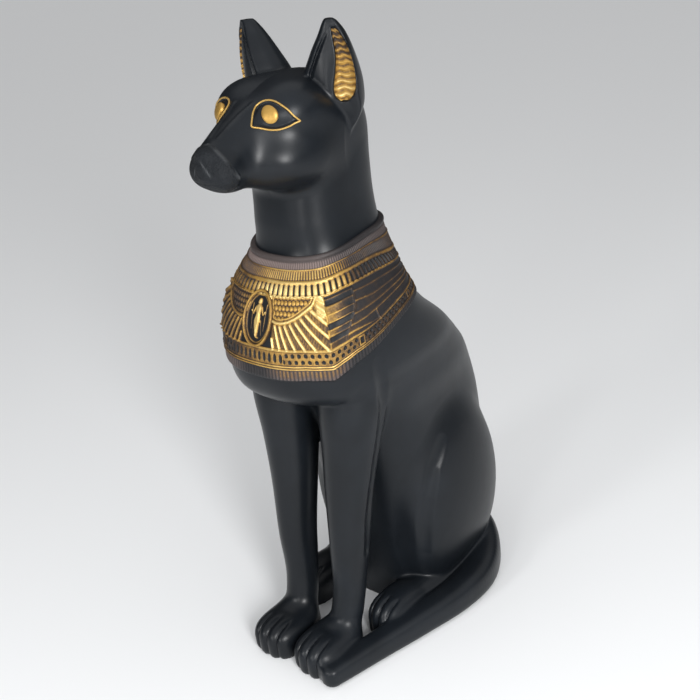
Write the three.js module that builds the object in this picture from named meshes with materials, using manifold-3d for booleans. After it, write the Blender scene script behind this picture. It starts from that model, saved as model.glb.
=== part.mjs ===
// A seated cat figure in the ancient Egyptian manner, with a broad winged collar, cast as one piece that
// stands on its own flat underside. Millimetres, +Z up. The cat looks along -Y and its tail lies along its
// left side, +X.
// The origin is on the ground, under the middle of the figure's outline.
import * as THREE from "three";
import { mergeVertices } from "three/addons/utils/BufferGeometryUtils.js";
import Module from "manifold-3d";

// Driving dimensions, in millimetres.
const figureHeight = 600; // ear tips above the ground
const samplesInHeight = 160; // grid steps from the ground to the ear tips
const triangleBudget = 9400;

// The form below is in hundredths of the figure's height.
const unit = figureHeight / 100;

const clamp = (v, low, high) => Math.min(high, Math.max(low, v));
const mix = (a, b, t) => a + (b - a) * t;
const ease = (t) => {
  const s = clamp(t, 0, 1);
  return s * s * (3 - 2 * s);
};

// Joins and cuts of distance fields, rounded over the width k.
const join = (a, b, k) => {
  const h = Math.max(k - Math.abs(a - b), 0) / k;
  return Math.min(a, b) - (h * h * k) / 4;
};
const carve = (a, b, k) => -join(-a, b, k);

// A smooth curve through [place, value, value, ...] rows, as a function that fills an array of values.
function smoothRows(rows) {
  const width = rows[0].length - 1;
  const slopes = rows.map((row, i) => {
    const before = rows[Math.max(i - 1, 0)];
    const after = rows[Math.min(i + 1, rows.length - 1)];
    return row.slice(1).map((_, k) => (after[k + 1] - before[k + 1]) / (after[0] - before[0]));
  });
  const values = new Array(width);
  return (place) => {
    const at = clamp(place, rows[0][0], rows[rows.length - 1][0]);
    let i = 0;
    while (i < rows.length - 2 && at > rows[i + 1][0]) i++;
    const span = rows[i + 1][0] - rows[i][0];
    const t = (at - rows[i][0]) / span;
    const t2 = t * t;
    const t3 = t2 * t;
    for (let k = 0; k < width; k++) {
      values[k] =
        rows[i][k + 1] * (2 * t3 - 3 * t2 + 1) +
        slopes[i][k] * span * (t3 - 2 * t2 + t) +
        rows[i + 1][k + 1] * (3 * t2 - 2 * t3) +
        slopes[i + 1][k] * span * (t3 - t2);
    }
    return values;
  };
}

// Signed distance, near enough, of an oval with half axes a and b. A roundness of 2 is an ellipse, and more
// is boxier.
function oval(u, v, a, b, roundness = 2) {
  const s = Math.abs(u) / a;
  const t = Math.abs(v) / b;
  const k = (s ** roundness + t ** roundness) ** (1 / roundness);
  if (k < 1e-6) return -Math.min(a, b);
  const slope = Math.hypot((s / k) ** (roundness - 1) / a, (t / k) ** (roundness - 1) / b);
  return (k - 1) / slope;
}

// A body lofted through rows of [place, low, high, widest, halfWidth, middle]. At each place along its length
// it is an egg in the plane across, from low to high, widest at widest, and centred on middle sideways.
function loft(rows, roundness) {
  const read = smoothRows(rows);
  const start = rows[0][0];
  const end = rows[rows.length - 1][0];
  return (across, along, place) => {
    const [low, high, widest, halfWidth, middle = 0] = read(place);
    const depth = along < widest ? widest - low : high - widest;
    const d = oval(across - middle, along - widest, halfWidth, depth, roundness);
    return Math.max(d, start - place, place - end);
  };
}

// An ellipsoid at a place, with half axes along x, y and z, turned about x, then y, then z, in degrees.
function blob(at, radii, turns = [0, 0, 0]) {
  const [rx, ry, rz] = turns.map(THREE.MathUtils.degToRad);
  const turn = new THREE.Euler(rx, ry, rz, "ZYX");
  const m = new THREE.Matrix4().makeRotationFromEuler(turn).transpose().elements;
  const [a, b, c] = radii;
  return (x, y, z) => {
    const px = x - at[0];
    const py = y - at[1];
    const pz = z - at[2];
    const u = m[0] * px + m[4] * py + m[8] * pz;
    const v = m[1] * px + m[5] * py + m[9] * pz;
    const w = m[2] * px + m[6] * py + m[10] * pz;
    const k0 = Math.hypot(u / a, v / b, w / c);
    const k1 = Math.hypot(u / (a * a), v / (b * b), w / (c * c));
    return k1 > 1e-9 ? (k0 * (k0 - 1)) / k1 : -Math.min(a, b, c);
  };
}

// A block with rounded edges and swelling faces, by its middle and half sizes.
function cushion(at, halves, roundness = 3) {
  return (x, y, z) => {
    const parts = [x, y, z].map((v, i) => Math.abs(v - at[i]) / halves[i]);
    const k = parts.reduce((sum, p) => sum + p ** roundness, 0) ** (1 / roundness);
    if (k < 1e-6) return -Math.min(...halves);
    const slope = Math.hypot(...parts.map((p, i) => (p / k) ** (roundness - 1) / halves[i]));
    return (k - 1) / slope;
  };
}

// A round limb between two points, tapering from one radius to the other.
function limb(from, to, r0, r1) {
  const d = [to[0] - from[0], to[1] - from[1], to[2] - from[2]];
  const square = d[0] * d[0] + d[1] * d[1] + d[2] * d[2];
  return (x, y, z) => {
    const px = x - from[0];
    const py = y - from[1];
    const pz = z - from[2];
    const t = clamp((px * d[0] + py * d[1] + pz * d[2]) / square, 0, 1);
    return Math.hypot(px - d[0] * t, py - d[1] * t, pz - d[2] * t) - mix(r0, r1, t);
  };
}

// A bar that lies between two points, nearly square across with rounded edges.
function bar(from, to, r0, r1, roundness = 3.2) {
  const [dx, dy] = [to[0] - from[0], to[1] - from[1]];
  const square = dx * dx + dy * dy;
  return (x, y, z) => {
    const px = x - from[0];
    const py = y - from[1];
    const t = clamp((px * dx + py * dy) / square, 0, 1);
    const across = Math.hypot(px - dx * t, py - dy * t);
    const rise = Math.abs(z - mix(from[2], to[2], t));
    return (across ** roundness + rise ** roundness) ** (1 / roundness) - mix(r0, r1, t);
  };
}

// A soft valley along a line of points: how much it takes off the surface at a place.
function valley(points, half, depth) {
  const spans = points.slice(1).map((to, i) => limb(points[i], to, 0, 0));
  return (x, y, z) => depth * ease(1 - spans.reduce((d, span) => Math.min(d, span(x, y, z)), half) / half);
}

// Trunk and neck by height: front, back, widest, halfWidth.
const trunkRoundness = 2.5;
const trunk = loft(
  [
    [-2, -7, 13.5, 4, 10.5],
    [6, -7.5, 16.5, 5, 11.4],
    [14, -8, 19.2, 5, 11.8],
    [24, -9, 21.6, 3, 12],
    [32, -10.5, 21.9, 0, 12],
    [38, -12, 20.6, -2, 12.1],
    [42.5, -14.6, 18.4, -3, 12.9],
    [45, -18.2, 16.5, -3.7, 13.2],
    [47, -22.6, 14.8, -4.3, 13.5],
    [50, -24.4, 11.8, -5, 14.1],
    [55, -24.2, 6.1, -7, 14],
    [60, -22.4, 1.9, -8, 13.4],
    [64, -20.1, 1.4, -8.2, 11.3],
    [68, -17, 1.6, -8, 8.9],
    [73, -16.5, 1.4, -8, 8],
    [79, -15.8, 1.3, -7.5, 8],
    [84, -15, 1.5, -7, 8.1],
    [88, -14, 1.3, -6.8, 7.8],
  ],
  trunkRoundness,
);

// Cranium, cheeks and muzzle. The muzzle goes by distance forward: jaw, bridge, widest, halfWidth.
const cranium = blob([0, -9.4, 86.4], [8.9, 11, 6.9]);
const brow = blob([4, -13.3, 89], [4.5, 5, 3.9], [0, 0, 20]);
const jowl = blob([3.2, -13, 82.6], [5.4, 8, 4.4], [-4, 0, 12]);
const muzzle = loft(
  [
    [10, 78.2, 90.6, 84, 7.6],
    [14, 77.6, 90.6, 84, 7.4],
    [17, 78.4, 90.8, 84.2, 6.3],
    [19.5, 79.2, 90.4, 84, 5.1],
    [22, 79.9, 89.4, 83.8, 4.2],
    [24.5, 80.5, 88, 83.6, 3.7],
    [26.5, 81, 86.8, 83.6, 3.1],
    [27.6, 82, 85.8, 83.8, 2],
    [28.2, 83, 84.8, 83.9, 0.8],
  ],
  2.2,
);
const whiskerPad = blob([1.8, -25.2, 83.5], [2.3, 2.6, 2.6], [0, 0, 14]);
const nose = blob([0, -26.6, 85.8], [1.9, 1.4, 1.2], [-24, 0, 0]);
const chin = blob([0, -24.2, 81.2], [2.1, 2.6, 1.2], [-14, 0, 0]);

function head(side, x, y, z) {
  let d = join(cranium(x, y, z), muzzle(x, z, -y), 2);
  d = join(d, brow(side, y, z), 2);
  d = join(d, jowl(side, y, z), 2.4);
  d = join(d, whiskerPad(side, y, z), 0.7);
  d = join(d, nose(x, y, z), 0.6);
  return join(d, chin(x, y, z), 0.6);
}

// An ear stands on the skull, open forward and outward. It is measured in the plane across by out and wide,
// which is turned by earTurn from straight forward. Its flat front slopes back towards the skull by earSlope.
// Rows by height: middle, halfWide, back, front.
const earFoot = 83.2;
const earTip = 100;
const earTurn = THREE.MathUtils.degToRad(44);
const earSlope = 0.4;
const earShell = smoothRows([
  [earFoot, 0.1, 0.3, 7, 10.4],
  [84.5, 0.5, 0.9, 6.4, 11],
  [86.2, 1, 1.8, 5.6, 11.8],
  [87.8, 0.9, 2.8, 5.2, 12.2],
  [89.5, 0.2, 3.8, 5.1, 12.3],
  [92, -0.2, 4.1, 5.6, 12.4],
  [95.3, 0.1, 3.1, 7.2, 12.4],
  [98, 0.4, 1.9, 8.7, 12.2],
  [99.6, 0.3, 1, 9.8, 12],
  [earTip, 0.2, 0.6, 10.2, 12],
]);
// The hollow lies in the outer half of the front. Rows by height: middle, halfWide, depth.
const hollowFoot = 89;
const hollowTip = 98.9;
const earHollow = smoothRows([
  [hollowFoot, 0.95, 0.4, 0.4],
  [89.8, 1, 1.2, 1],
  [91, 1.2, 1.5, 1.3],
  [93.2, 1.5, 1.3, 1.3],
  [95.3, 1.5, 1, 1.1],
  [97, 1.2, 0.75, 0.8],
  [hollowTip, 0.65, 0.3, 0.3],
]);

function ear(x, y, z) {
  const out = x * Math.sin(earTurn) - y * Math.cos(earTurn);
  const wide = x * Math.cos(earTurn) + y * Math.sin(earTurn);
  const [middle, halfWide, back, brim] = earShell(z);
  const heart = mix(back, brim, 0.5);
  const depth = out < heart ? heart - back : (brim - heart) * 1.7;
  const cup = oval(wide - middle, out - heart, halfWide, depth, 2.2);
  const front = brim + earSlope * (wide - middle) - out;
  const shell = Math.max(carve(cup, front, 0.7), earFoot - z, z - earTip);
  const [hollowMiddle, hollowHalf, hollowDepth] = earHollow(z);
  const bowl = oval(wide - hollowMiddle, front, hollowHalf, hollowDepth, 3);
  const hollow = Math.max(bowl, hollowFoot - z, z - hollowTip);
  return carve(shell, hollow, 0.5);
}

// Four toes side by side: how much the gaps between them take off, from their roots forward.
function toes({ middle, pitch, depth, roots, knuckles }) {
  return (side, y) => {
    const place = (side - middle) / pitch;
    if (Math.abs(place) > 1.5) return 0;
    const off = 2 * Math.abs(place - Math.floor(place) - 0.5);
    return depth * (1 - Math.sqrt(1 - 0.96 * off * off)) * ease((roots - y) / (roots - knuckles));
  };
}

// Forelegs by height: front, back, widest, halfWidth, middle.
const foreleg = loft([
  [-1, -24, -17.8, -21, 2.8, 4.9],
  [3, -23.6, -17.6, -20.6, 2.8, 4.9],
  [6.5, -22, -16.2, -19.2, 2.7, 5.1],
  [11, -20.9, -14.9, -18, 2.65, 5.4],
  [18, -20.6, -13.4, -17, 2.95, 5.8],
  [28, -19.6, -11.2, -15.4, 3.7, 6],
  [36, -19, -9, -14, 4.4, 6.5],
  [44, -18.6, -7, -13, 5.2, 7.2],
  [50, -17, -6, -12, 5.2, 7.6],
]);
const forepaw = cushion([4.6, -24.4, 2.1], [4.4, 5.5, 3.5]);
const foreToes = toes({ middle: 4.5, pitch: 2, depth: 0.9, roots: -24.6, knuckles: -27.4 });

function forelimb(side, y, z) {
  return join(foreleg(side, y, z), forepaw(side, y, z) + foreToes(side, y), 2);
}

// Haunch, shin and hind paw.
const thigh = blob([8.7, 6.4, 19.5], [6.5, 12.2, 17.5], [8, 0, 3]);
const shin = blob([8.6, 1, 12], [4.4, 6.4, 13]);
const hindpaw = cushion([8.6, -10.8, 1.7], [3.5, 5.5, 4.4]);
const hindToes = toes({ middle: 8.6, pitch: 1.65, depth: 0.75, roots: -11.2, knuckles: -13.6 });
const hindfoot = limb([9, -10, 2.6], [10.5, 8, 3], 2.9, 3.4);
const haunchFold = valley(
  [
    [11.3, -6.4, 6.5],
    [11.4, -5.3, 11],
    [12, -5.1, 17],
    [12.6, -4.2, 22.5],
    [13.2, -2.4, 27.5],
    [14, 0.4, 31.5],
  ],
  1.7,
  0.75,
);

function hindlimb(side, y, z) {
  const leg = join(thigh(side, y, z), shin(side, y, z), 3) + haunchFold(side, y, z);
  const foot = join(hindpaw(side, y, z) + hindToes(side, y), hindfoot(side, y, z), 1);
  return join(leg, foot, 0.6);
}

// The foreleg stands proud of the flank behind this fold.
const shoulderFold = valley(
  [
    [14.6, -13.6, 52],
    [13.3, -12.3, 47.5],
    [12.4, -11.7, 43.5],
    [11.1, -12, 38],
    [10, -13.4, 31],
    [9.2, -15, 24],
    [8.6, -15.6, 18],
  ],
  1.5,
  0.6,
);

// The tail leaves the rump behind, turns round the left haunch and lies forward to the forepaw.
const tailLine = new THREE.CatmullRomCurve3(
  [
    [0, 14, 3.6],
    [6, 15, 3.4],
    [11.4, 11.2, 3.1],
    [14.9, 5.2, 2.7],
    [15.2, -2, 2.4],
    [13.3, -11, 2.2],
    [11.2, -19, 2],
    [8.9, -28.3, 1.8],
  ].map((p) => new THREE.Vector3(...p)),
);
const tailRadius = smoothRows([
  [0, 4],
  [0.3, 3.1],
  [0.5, 2.6],
  [0.75, 2.2],
  [1, 1.85],
]);
const tailSteps = 22;
const tailTop = 9;
const tailPoints = tailLine.getSpacedPoints(tailSteps).map((p) => p.toArray());
const tailPieces = tailPoints.slice(1).map((to, i) => {
  const radiusAt = (step) => tailRadius(step / tailSteps)[0];
  return bar(tailPoints[i], to, radiusAt(i), radiusAt(i + 1));
});

function tail(x, y, z) {
  if (z > tailTop || x < -6) return tailTop;
  return tailPieces.reduce((d, piece) => Math.min(d, piece(x, y, z)), tailTop);
}

// The collar lies between a rim round the neck and a hem on the breast, which both rise towards the nape. It
// is a stack of bands of their own thickness, from the rolled rim down to the fringe, and an oval medallion
// lies on the breast. Its edges are softened over medallion.edge.
const collarTop = (y) => mix(68.2, 69.6, ease((y + 19) / 14));
const collarHem = (y) => mix(51.9, 58, ease((y + 23) / 22));
const collarBands = [
  { until: 0.09, thickness: 0.8 },
  { until: 0.19, thickness: 0.45 },
  { until: 0.34, thickness: 0.85 },
  { until: 0.8, thickness: 0.55 },
  { until: 0.92, thickness: 0.9 },
  { until: 1, thickness: 0.5 },
];
const medallion = { height: 60.2, halfWide: 2.6, halfHigh: 3.7, rim: 1.1, thickness: 0.8, edge: 0.9 };

function collar(x, y, z) {
  const top = collarTop(y);
  const hem = collarHem(y);
  const inside = Math.min(top - z, z - hem);
  if (inside < -0.5) return 0;
  const down = clamp((top - z) / (top - hem), 0, 1);
  const band = collarBands.find(({ until }) => down <= until);
  const relief = band.thickness * ease(inside / 0.6 + 0.5);
  if (y > -8) return relief;
  const disc = oval(x, z - medallion.height, medallion.halfWide, medallion.halfHigh);
  const hollow = ease(0.5 - (disc + medallion.rim) / medallion.edge) * (2 / 3);
  return relief + medallion.thickness * ease(0.5 - disc / medallion.edge) * (1 - hollow);
}

// The eye lies on the face where it looks forward and outward: a domed iris on an almond ball, sunk within
// its lids.
const eye = { wide: -8.9, height: 89.3, halfWide: 3.2, halfHigh: 2.1, rim: 0.9, lid: 0.45, sunk: 0.35 };
const iris = { wide: -9.4, height: 89.7, radius: 1.4, dome: 0.6 };

function gaze(x, y, z) {
  if (y > -12 || z < 85) return 0;
  const wide = x * Math.cos(earTurn) + y * Math.sin(earTurn);
  const ball = oval(wide - eye.wide, z - eye.height, eye.halfWide, eye.halfHigh);
  const away = Math.hypot(wide - iris.wide, z - iris.height) / iris.radius;
  const dome = iris.dome * ease(1.7 * (1 - away));
  const lid = eye.lid * ease(1 - Math.abs(ball) / eye.rim);
  return dome + lid - eye.sunk * ease(0.5 - ball / eye.rim);
}

function cat(x, y, z) {
  const side = Math.abs(x);
  let d = trunk(x, y, z);
  d = join(d, forelimb(side, y, z), 1) + shoulderFold(side, y, z);
  d = join(d, hindlimb(side, y, z), 1.4);
  d -= collar(x, y, z);
  d = join(d, head(side, x, y, z) - gaze(side, y, z), 1.6);
  d = join(d, ear(side, y, z), 0.8);
  return join(d, tail(x, y, z), 0.5);
}

// Reads the field on a grid. A coarse grid comes first, and the fine one is read only where the surface may
// be near.
function readGrid(field, low, counts, step) {
  const [nx, ny, nz] = counts;
  const block = 4;
  const reach = 2 * block * step;
  const coarse = counts.map((n) => Math.ceil(n / block));
  const values = new Float64Array(nx * ny * nz);
  const fill = (i0, j0, k0, read) => {
    for (let k = k0; k < Math.min(k0 + block, nz); k++) {
      for (let j = j0; j < Math.min(j0 + block, ny); j++) {
        for (let i = i0; i < Math.min(i0 + block, nx); i++) {
          const v = read(low[0] + i * step, low[1] + j * step, low[2] + k * step);
          values[i + nx * (j + ny * k)] = Math.abs(v) < 1e-6 ? 1e-6 : v;
        }
      }
    }
  };
  for (let k = 0; k < coarse[2]; k++) {
    for (let j = 0; j < coarse[1]; j++) {
      for (let i = 0; i < coarse[0]; i++) {
        const centre = [i, j, k].map((n, axis) => low[axis] + (n + 0.5) * block * step);
        const v = field(...centre);
        fill(i * block, j * block, k * block, Math.abs(v) > reach ? () => v : field);
      }
    }
  }
  return values;
}

// Walks the cubes of a grid, each split into six tetrahedra, and gives the surface where the field is zero.
function surfaceOf(field, low, high, step) {
  const counts = low.map((v, i) => Math.ceil((high[i] - v) / step) + 1);
  const [nx, ny, nz] = counts;
  const at = (i, j, k) => i + nx * (j + ny * k);
  const values = readGrid(field, low, counts, step);
  const points = [];
  const triangles = [];
  const found = new Map();
  const place = (n) => [
    low[0] + (n % nx) * step,
    low[1] + (Math.floor(n / nx) % ny) * step,
    low[2] + Math.floor(n / (nx * ny)) * step,
  ];
  const crossing = (a, b) => {
    const key = a < b ? a * values.length + b : b * values.length + a;
    let id = found.get(key);
    if (id === undefined) {
      const t = clamp(values[a] / (values[a] - values[b]), 0.02, 0.98);
      const p = place(a);
      const q = place(b);
      id = points.push([mix(p[0], q[0], t), mix(p[1], q[1], t), mix(p[2], q[2], t)]) - 1;
      found.set(key, id);
    }
    return id;
  };
  const steps = [1, nx, nx * ny];
  const cubeCorners = [0, 1, nx, nx + 1, nx * ny, nx * ny + 1, nx * ny + nx, nx * ny + nx + 1];
  const orders = [
    [0, 1, 2],
    [1, 2, 0],
    [2, 0, 1],
    [0, 2, 1],
    [2, 1, 0],
    [1, 0, 2],
  ];
  const split = (base, order, turn) => {
    const corners = [base];
    order.forEach((axis) => corners.push(corners[corners.length - 1] + steps[axis]));
    const inside = corners.filter((c) => values[c] < 0);
    if (inside.length === 0 || inside.length === 4) return;
    // The corners inside come first. An odd number of swaps against the order turns the faces round.
    const list = [...inside, ...corners.filter((c) => values[c] >= 0)];
    const rank = list.map((c) => corners.indexOf(c));
    let swaps = 0;
    for (let a = 0; a < 4; a++) {
      for (let b = a + 1; b < 4; b++) if (rank[a] > rank[b]) swaps++;
    }
    const flip = turn >= 3 !== (swaps % 2 === 1);
    const add = (a, b, c) => triangles.push(flip ? [a, c, b] : [a, b, c]);
    if (inside.length === 1) {
      add(crossing(list[0], list[1]), crossing(list[0], list[2]), crossing(list[0], list[3]));
    } else if (inside.length === 3) {
      add(crossing(list[0], list[3]), crossing(list[1], list[3]), crossing(list[2], list[3]));
    } else {
      const first = crossing(list[0], list[2]);
      const across = crossing(list[1], list[3]);
      add(first, crossing(list[0], list[3]), across);
      add(first, across, crossing(list[1], list[2]));
    }
  };
  for (let k = 0; k < nz - 1; k++) {
    for (let j = 0; j < ny - 1; j++) {
      for (let i = 0; i < nx - 1; i++) {
        const base = at(i, j, k);
        const inside = values[base] < 0;
        if (cubeCorners.every((c) => values[base + c] < 0 === inside)) continue;
        orders.forEach((order, turn) => split(base, order, turn));
      }
    }
  }
  return { points, triangles };
}

// Adds the squared distance to a face's plane, weighted by its area, to the sums that its corners carry.
function addPlane(sums, face, points) {
  const n = faceNormal(...face.map((v) => points[v]));
  const area = Math.hypot(...n);
  if (area < 1e-9) return;
  const [a, b, c] = n.map((v) => v / area);
  const [x, y, z] = points[face[0]];
  const d = -(a * x + b * y + c * z);
  const terms = [a * a, a * b, a * c, a * d, b * b, b * c, b * d, c * c, c * d, d * d];
  face.forEach((v) => terms.forEach((term, k) => (sums[10 * v + k] += term * area)));
}

function faceNormal(a, b, c) {
  const ux = b[0] - a[0];
  const uy = b[1] - a[1];
  const uz = b[2] - a[2];
  const vx = c[0] - a[0];
  const vy = c[1] - a[1];
  const vz = c[2] - a[2];
  return [uy * vz - uz * vy, uz * vx - ux * vz, ux * vy - uy * vx];
}

// The point that an edge shrinks to with the least squared distance to the planes of both ends, and that
// distance. A slight pull keeps it near the edge's middle where the surface is flat.
function shrink(sums, a, b, points) {
  const q = new Float64Array(10);
  for (let k = 0; k < 10; k++) q[k] = sums[10 * a + k] + sums[10 * b + k];
  const [ax, ay, az] = points[a];
  const [bx, by, bz] = points[b];
  const weight = q[0] + q[4] + q[7];
  const pull = 1e-3 * weight + 1e-12;
  const xx = q[0] + pull;
  const yy = q[4] + pull;
  const zz = q[7] + pull;
  const rx = (pull * (ax + bx)) / 2 - q[3];
  const ry = (pull * (ay + by)) / 2 - q[6];
  const rz = (pull * (az + bz)) / 2 - q[8];
  const m00 = yy * zz - q[5] * q[5];
  const m01 = q[2] * q[5] - q[1] * zz;
  const m02 = q[1] * q[5] - q[2] * yy;
  const m11 = xx * zz - q[2] * q[2];
  const m12 = q[1] * q[2] - xx * q[5];
  const m22 = xx * yy - q[1] * q[1];
  const det = xx * m00 + q[1] * m01 + q[2] * m02;
  const x = (rx * m00 + ry * m01 + rz * m02) / det;
  const y = (rx * m01 + ry * m11 + rz * m12) / det;
  const z = (rx * m02 + ry * m12 + rz * m22) / det;
  const away =
    q[0] * x * x + 2 * q[1] * x * y + 2 * q[2] * x * z + 2 * q[3] * x +
    q[4] * y * y + 2 * q[5] * y * z + 2 * q[6] * y + q[7] * z * z + 2 * q[8] * z + q[9];
  const length = (ax - bx) ** 2 + (ay - by) ** 2 + (az - bz) ** 2;
  return { at: [x, y, z], cost: Math.max(away, 0) + 1e-4 * weight * length };
}

// A queue of items that gives back the one of least cost first.
class Queue {
  items = [];

  add(item) {
    const { items } = this;
    let i = items.push(item) - 1;
    while (i > 0) {
      const up = (i - 1) >> 1;
      if (items[up].cost <= item.cost) break;
      items[i] = items[up];
      i = up;
    }
    items[i] = item;
  }

  take() {
    const { items } = this;
    const first = items[0];
    const item = items.pop();
    if (items.length === 0) return first;
    let i = 0;
    for (let child = 1; child < items.length; child = 2 * i + 1) {
      if (child + 1 < items.length && items[child + 1].cost < items[child].cost) child++;
      if (items[child].cost >= item.cost) break;
      items[i] = items[child];
      i = child;
    }
    items[i] = item;
    return first;
  }
}

// Collapses edges until the surface has no more triangles than the budget, the least change in form first.
function simplify(points, triangles, budget) {
  const faces = triangles;
  const around = points.map(() => []);
  faces.forEach((face, f) => face.forEach((v) => around[v].push(f)));
  const sums = new Float64Array(10 * points.length);
  faces.forEach((face) => addPlane(sums, face, points));

  // An edge whose ends have changed since it was put in the queue is passed over.
  const queue = new Queue();
  const changes = new Int32Array(points.length);
  const offer = (a, b) => {
    const { cost } = shrink(sums, a, b, points);
    queue.add({ a, b, change: changes[a] + changes[b], cost });
  };
  faces.forEach(([a, b, c]) => {
    if (a < b) offer(a, b);
    if (b < c) offer(b, c);
    if (c < a) offer(c, a);
  });

  const neighbours = (v) => {
    const found = [];
    for (const f of around[v]) {
      for (const w of faces[f]) if (w !== v && !found.includes(w)) found.push(w);
    }
    return found;
  };
  const turnsOver = (v, other, at) =>
    around[v].some((f) => {
      const face = faces[f];
      if (face.includes(other)) return false;
      const [a, b, c] = face;
      const n = faceNormal(points[a], points[b], points[c]);
      const m = faceNormal(v === a ? at : points[a], v === b ? at : points[b], v === c ? at : points[c]);
      return n[0] * m[0] + n[1] * m[1] + n[2] * m[2] < 0.3 * Math.hypot(...n) * Math.hypot(...m);
    });

  let left = faces.length;
  while (left > budget && queue.items.length > 0) {
    const { a, b, change } = queue.take();
    if (around[a].length === 0 || around[b].length === 0 || change !== changes[a] + changes[b]) continue;
    const ring = neighbours(b);
    const shared = neighbours(a).filter((v) => ring.includes(v));
    if (shared.length !== 2) continue;
    const { at } = shrink(sums, a, b, points);
    if (turnsOver(a, b, at) || turnsOver(b, a, at)) continue;
    points[a] = at;
    for (let k = 0; k < 10; k++) sums[10 * a + k] += sums[10 * b + k];
    around[b].forEach((f) => {
      const face = faces[f];
      if (face.includes(a)) {
        face.forEach((w) => {
          if (w !== b) around[w] = around[w].filter((g) => g !== f);
        });
        faces[f] = [];
        left--;
      } else {
        face[face.indexOf(b)] = a;
        around[a].push(f);
      }
    });
    around[b] = [];
    changes[a]++;
    neighbours(a).forEach((v) => offer(a, v));
  }
  return faces.filter((face) => face.length === 3);
}

// The form is sampled from a little below the ground, and everything below it is cut off flat.
const low = [-22, -34, -3];
const high = [22, 30, 102];
const step = 100 / samplesInHeight;
const made = surfaceOf(cat, low, high, step);
const facets = simplify(made.points, made.triangles, triangleBudget);

const wasm = await Module();
wasm.setup();

const asSolid = (points, triangles) => {
  const used = [...new Set(triangles.flat())];
  const numbers = new Map(used.map((v, i) => [v, i]));
  const vertProperties = new Float32Array(used.flatMap((v) => points[v]));
  const triVerts = new Uint32Array(triangles.flat().map((v) => numbers.get(v)));
  return new wasm.Manifold(new wasm.Mesh({ numProp: 3, vertProperties, triVerts }));
};

const asGeometry = (solid) => {
  const { vertProperties, triVerts } = solid.getMesh();
  const geometry = new THREE.BufferGeometry();
  geometry.setAttribute("position", new THREE.BufferAttribute(vertProperties, 3));
  geometry.setIndex(new THREE.BufferAttribute(triVerts, 1));
  return geometry;
};

const inMillimetres = (p) => p.map((v) => v * unit);
const figure = asSolid(made.points.map(inMillimetres), facets);

const ground = new THREE.BoxGeometry(2 * figureHeight, 2 * figureHeight, figureHeight);
ground.deleteAttribute("normal");
ground.deleteAttribute("uv");
ground.translate(0, 0, -figureHeight / 2);
const groundMesh = mergeVertices(ground);
const groundSolid = new wasm.Manifold(
  new wasm.Mesh({
    numProp: 3,
    vertProperties: new Float32Array(groundMesh.getAttribute("position").array),
    triVerts: new Uint32Array(groundMesh.index.array),
  }),
);

const geometry = asGeometry(figure.subtract(groundSolid));
geometry.computeBoundingBox();
const middle = geometry.boundingBox.getCenter(new THREE.Vector3());

const group = new THREE.Group();
const paint = new THREE.MeshStandardMaterial({ color: 0x16181b, roughness: 0.35, metalness: 0 });
const mesh = new THREE.Mesh(geometry, paint);
mesh.name = "bastet_cat_figure";
mesh.position.set(-middle.x, -middle.y, 0);
group.add(mesh);

export default group;
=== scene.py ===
"""Looks of a seated cat figure in satin black paint, with an antique gold collar, ears and eyes.

The form is a distance field in hundredths of the figure's height, the same as the frame's solid has. Here
it is meshed finely, at the place and the size that the frame gives, with the carving that is too fine for
the solid.
"""
import math

import bpy
import numpy as np
from bpy.props import FloatProperty, FloatVectorProperty, IntProperty, PointerProperty
from bpy.types import Operator, Panel, PropertyGroup
from mathutils import Matrix, Vector


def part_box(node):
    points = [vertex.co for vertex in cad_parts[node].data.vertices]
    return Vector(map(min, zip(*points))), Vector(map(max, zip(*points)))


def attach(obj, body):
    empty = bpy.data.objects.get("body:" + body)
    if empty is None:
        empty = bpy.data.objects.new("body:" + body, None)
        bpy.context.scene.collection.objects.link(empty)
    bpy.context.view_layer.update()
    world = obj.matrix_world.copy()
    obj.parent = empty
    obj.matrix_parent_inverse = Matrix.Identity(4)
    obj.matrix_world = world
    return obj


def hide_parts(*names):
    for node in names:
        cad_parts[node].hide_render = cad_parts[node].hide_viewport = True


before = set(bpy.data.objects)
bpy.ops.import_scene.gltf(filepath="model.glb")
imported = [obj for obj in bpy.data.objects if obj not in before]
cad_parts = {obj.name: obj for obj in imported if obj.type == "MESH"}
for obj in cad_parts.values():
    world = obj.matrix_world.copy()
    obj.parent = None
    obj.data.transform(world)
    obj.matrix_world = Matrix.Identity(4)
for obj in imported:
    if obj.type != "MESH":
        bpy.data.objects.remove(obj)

bl_info = {
    "name": "Seated cat figure",
    "version": (1, 0, 0),
    "blender": (4, 5, 0),
    "location": "3D View > Sidebar > Cat figure",
    "description": "Builds the painted surfaces of a seated cat figure around its frame",
    "category": "Object",
}

FIGURE = "bastet_cat_figure"
BODY = "root"
SLOT_BLACK = "black_paint"
SLOT_GOLD = "antique_gold_paint"
SATIN_BLACK = "satin_black"
RUBBED_GOLD = "rubbed_gold"
FRAME_LOW, FRAME_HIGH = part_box(FIGURE)
UNIT = (FRAME_HIGH.z - FRAME_LOW.z) / 100
# The middle of the outline box, in the form's units.
MIDDLE = np.array([1.433, -4.089, 0.0])

# The picture's camera: degrees round the figure, units from its axis, units up, and how it is turned.
CAMERA_AZIMUTH = 42.45
CAMERA_AWAY = 157.65
CAMERA_UP = 119.4
CAMERA_TURN = 1.098
CAMERA_PITCH = -25.066
CAMERA_ROLL = -8
CAMERA_LENS = 54


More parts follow.
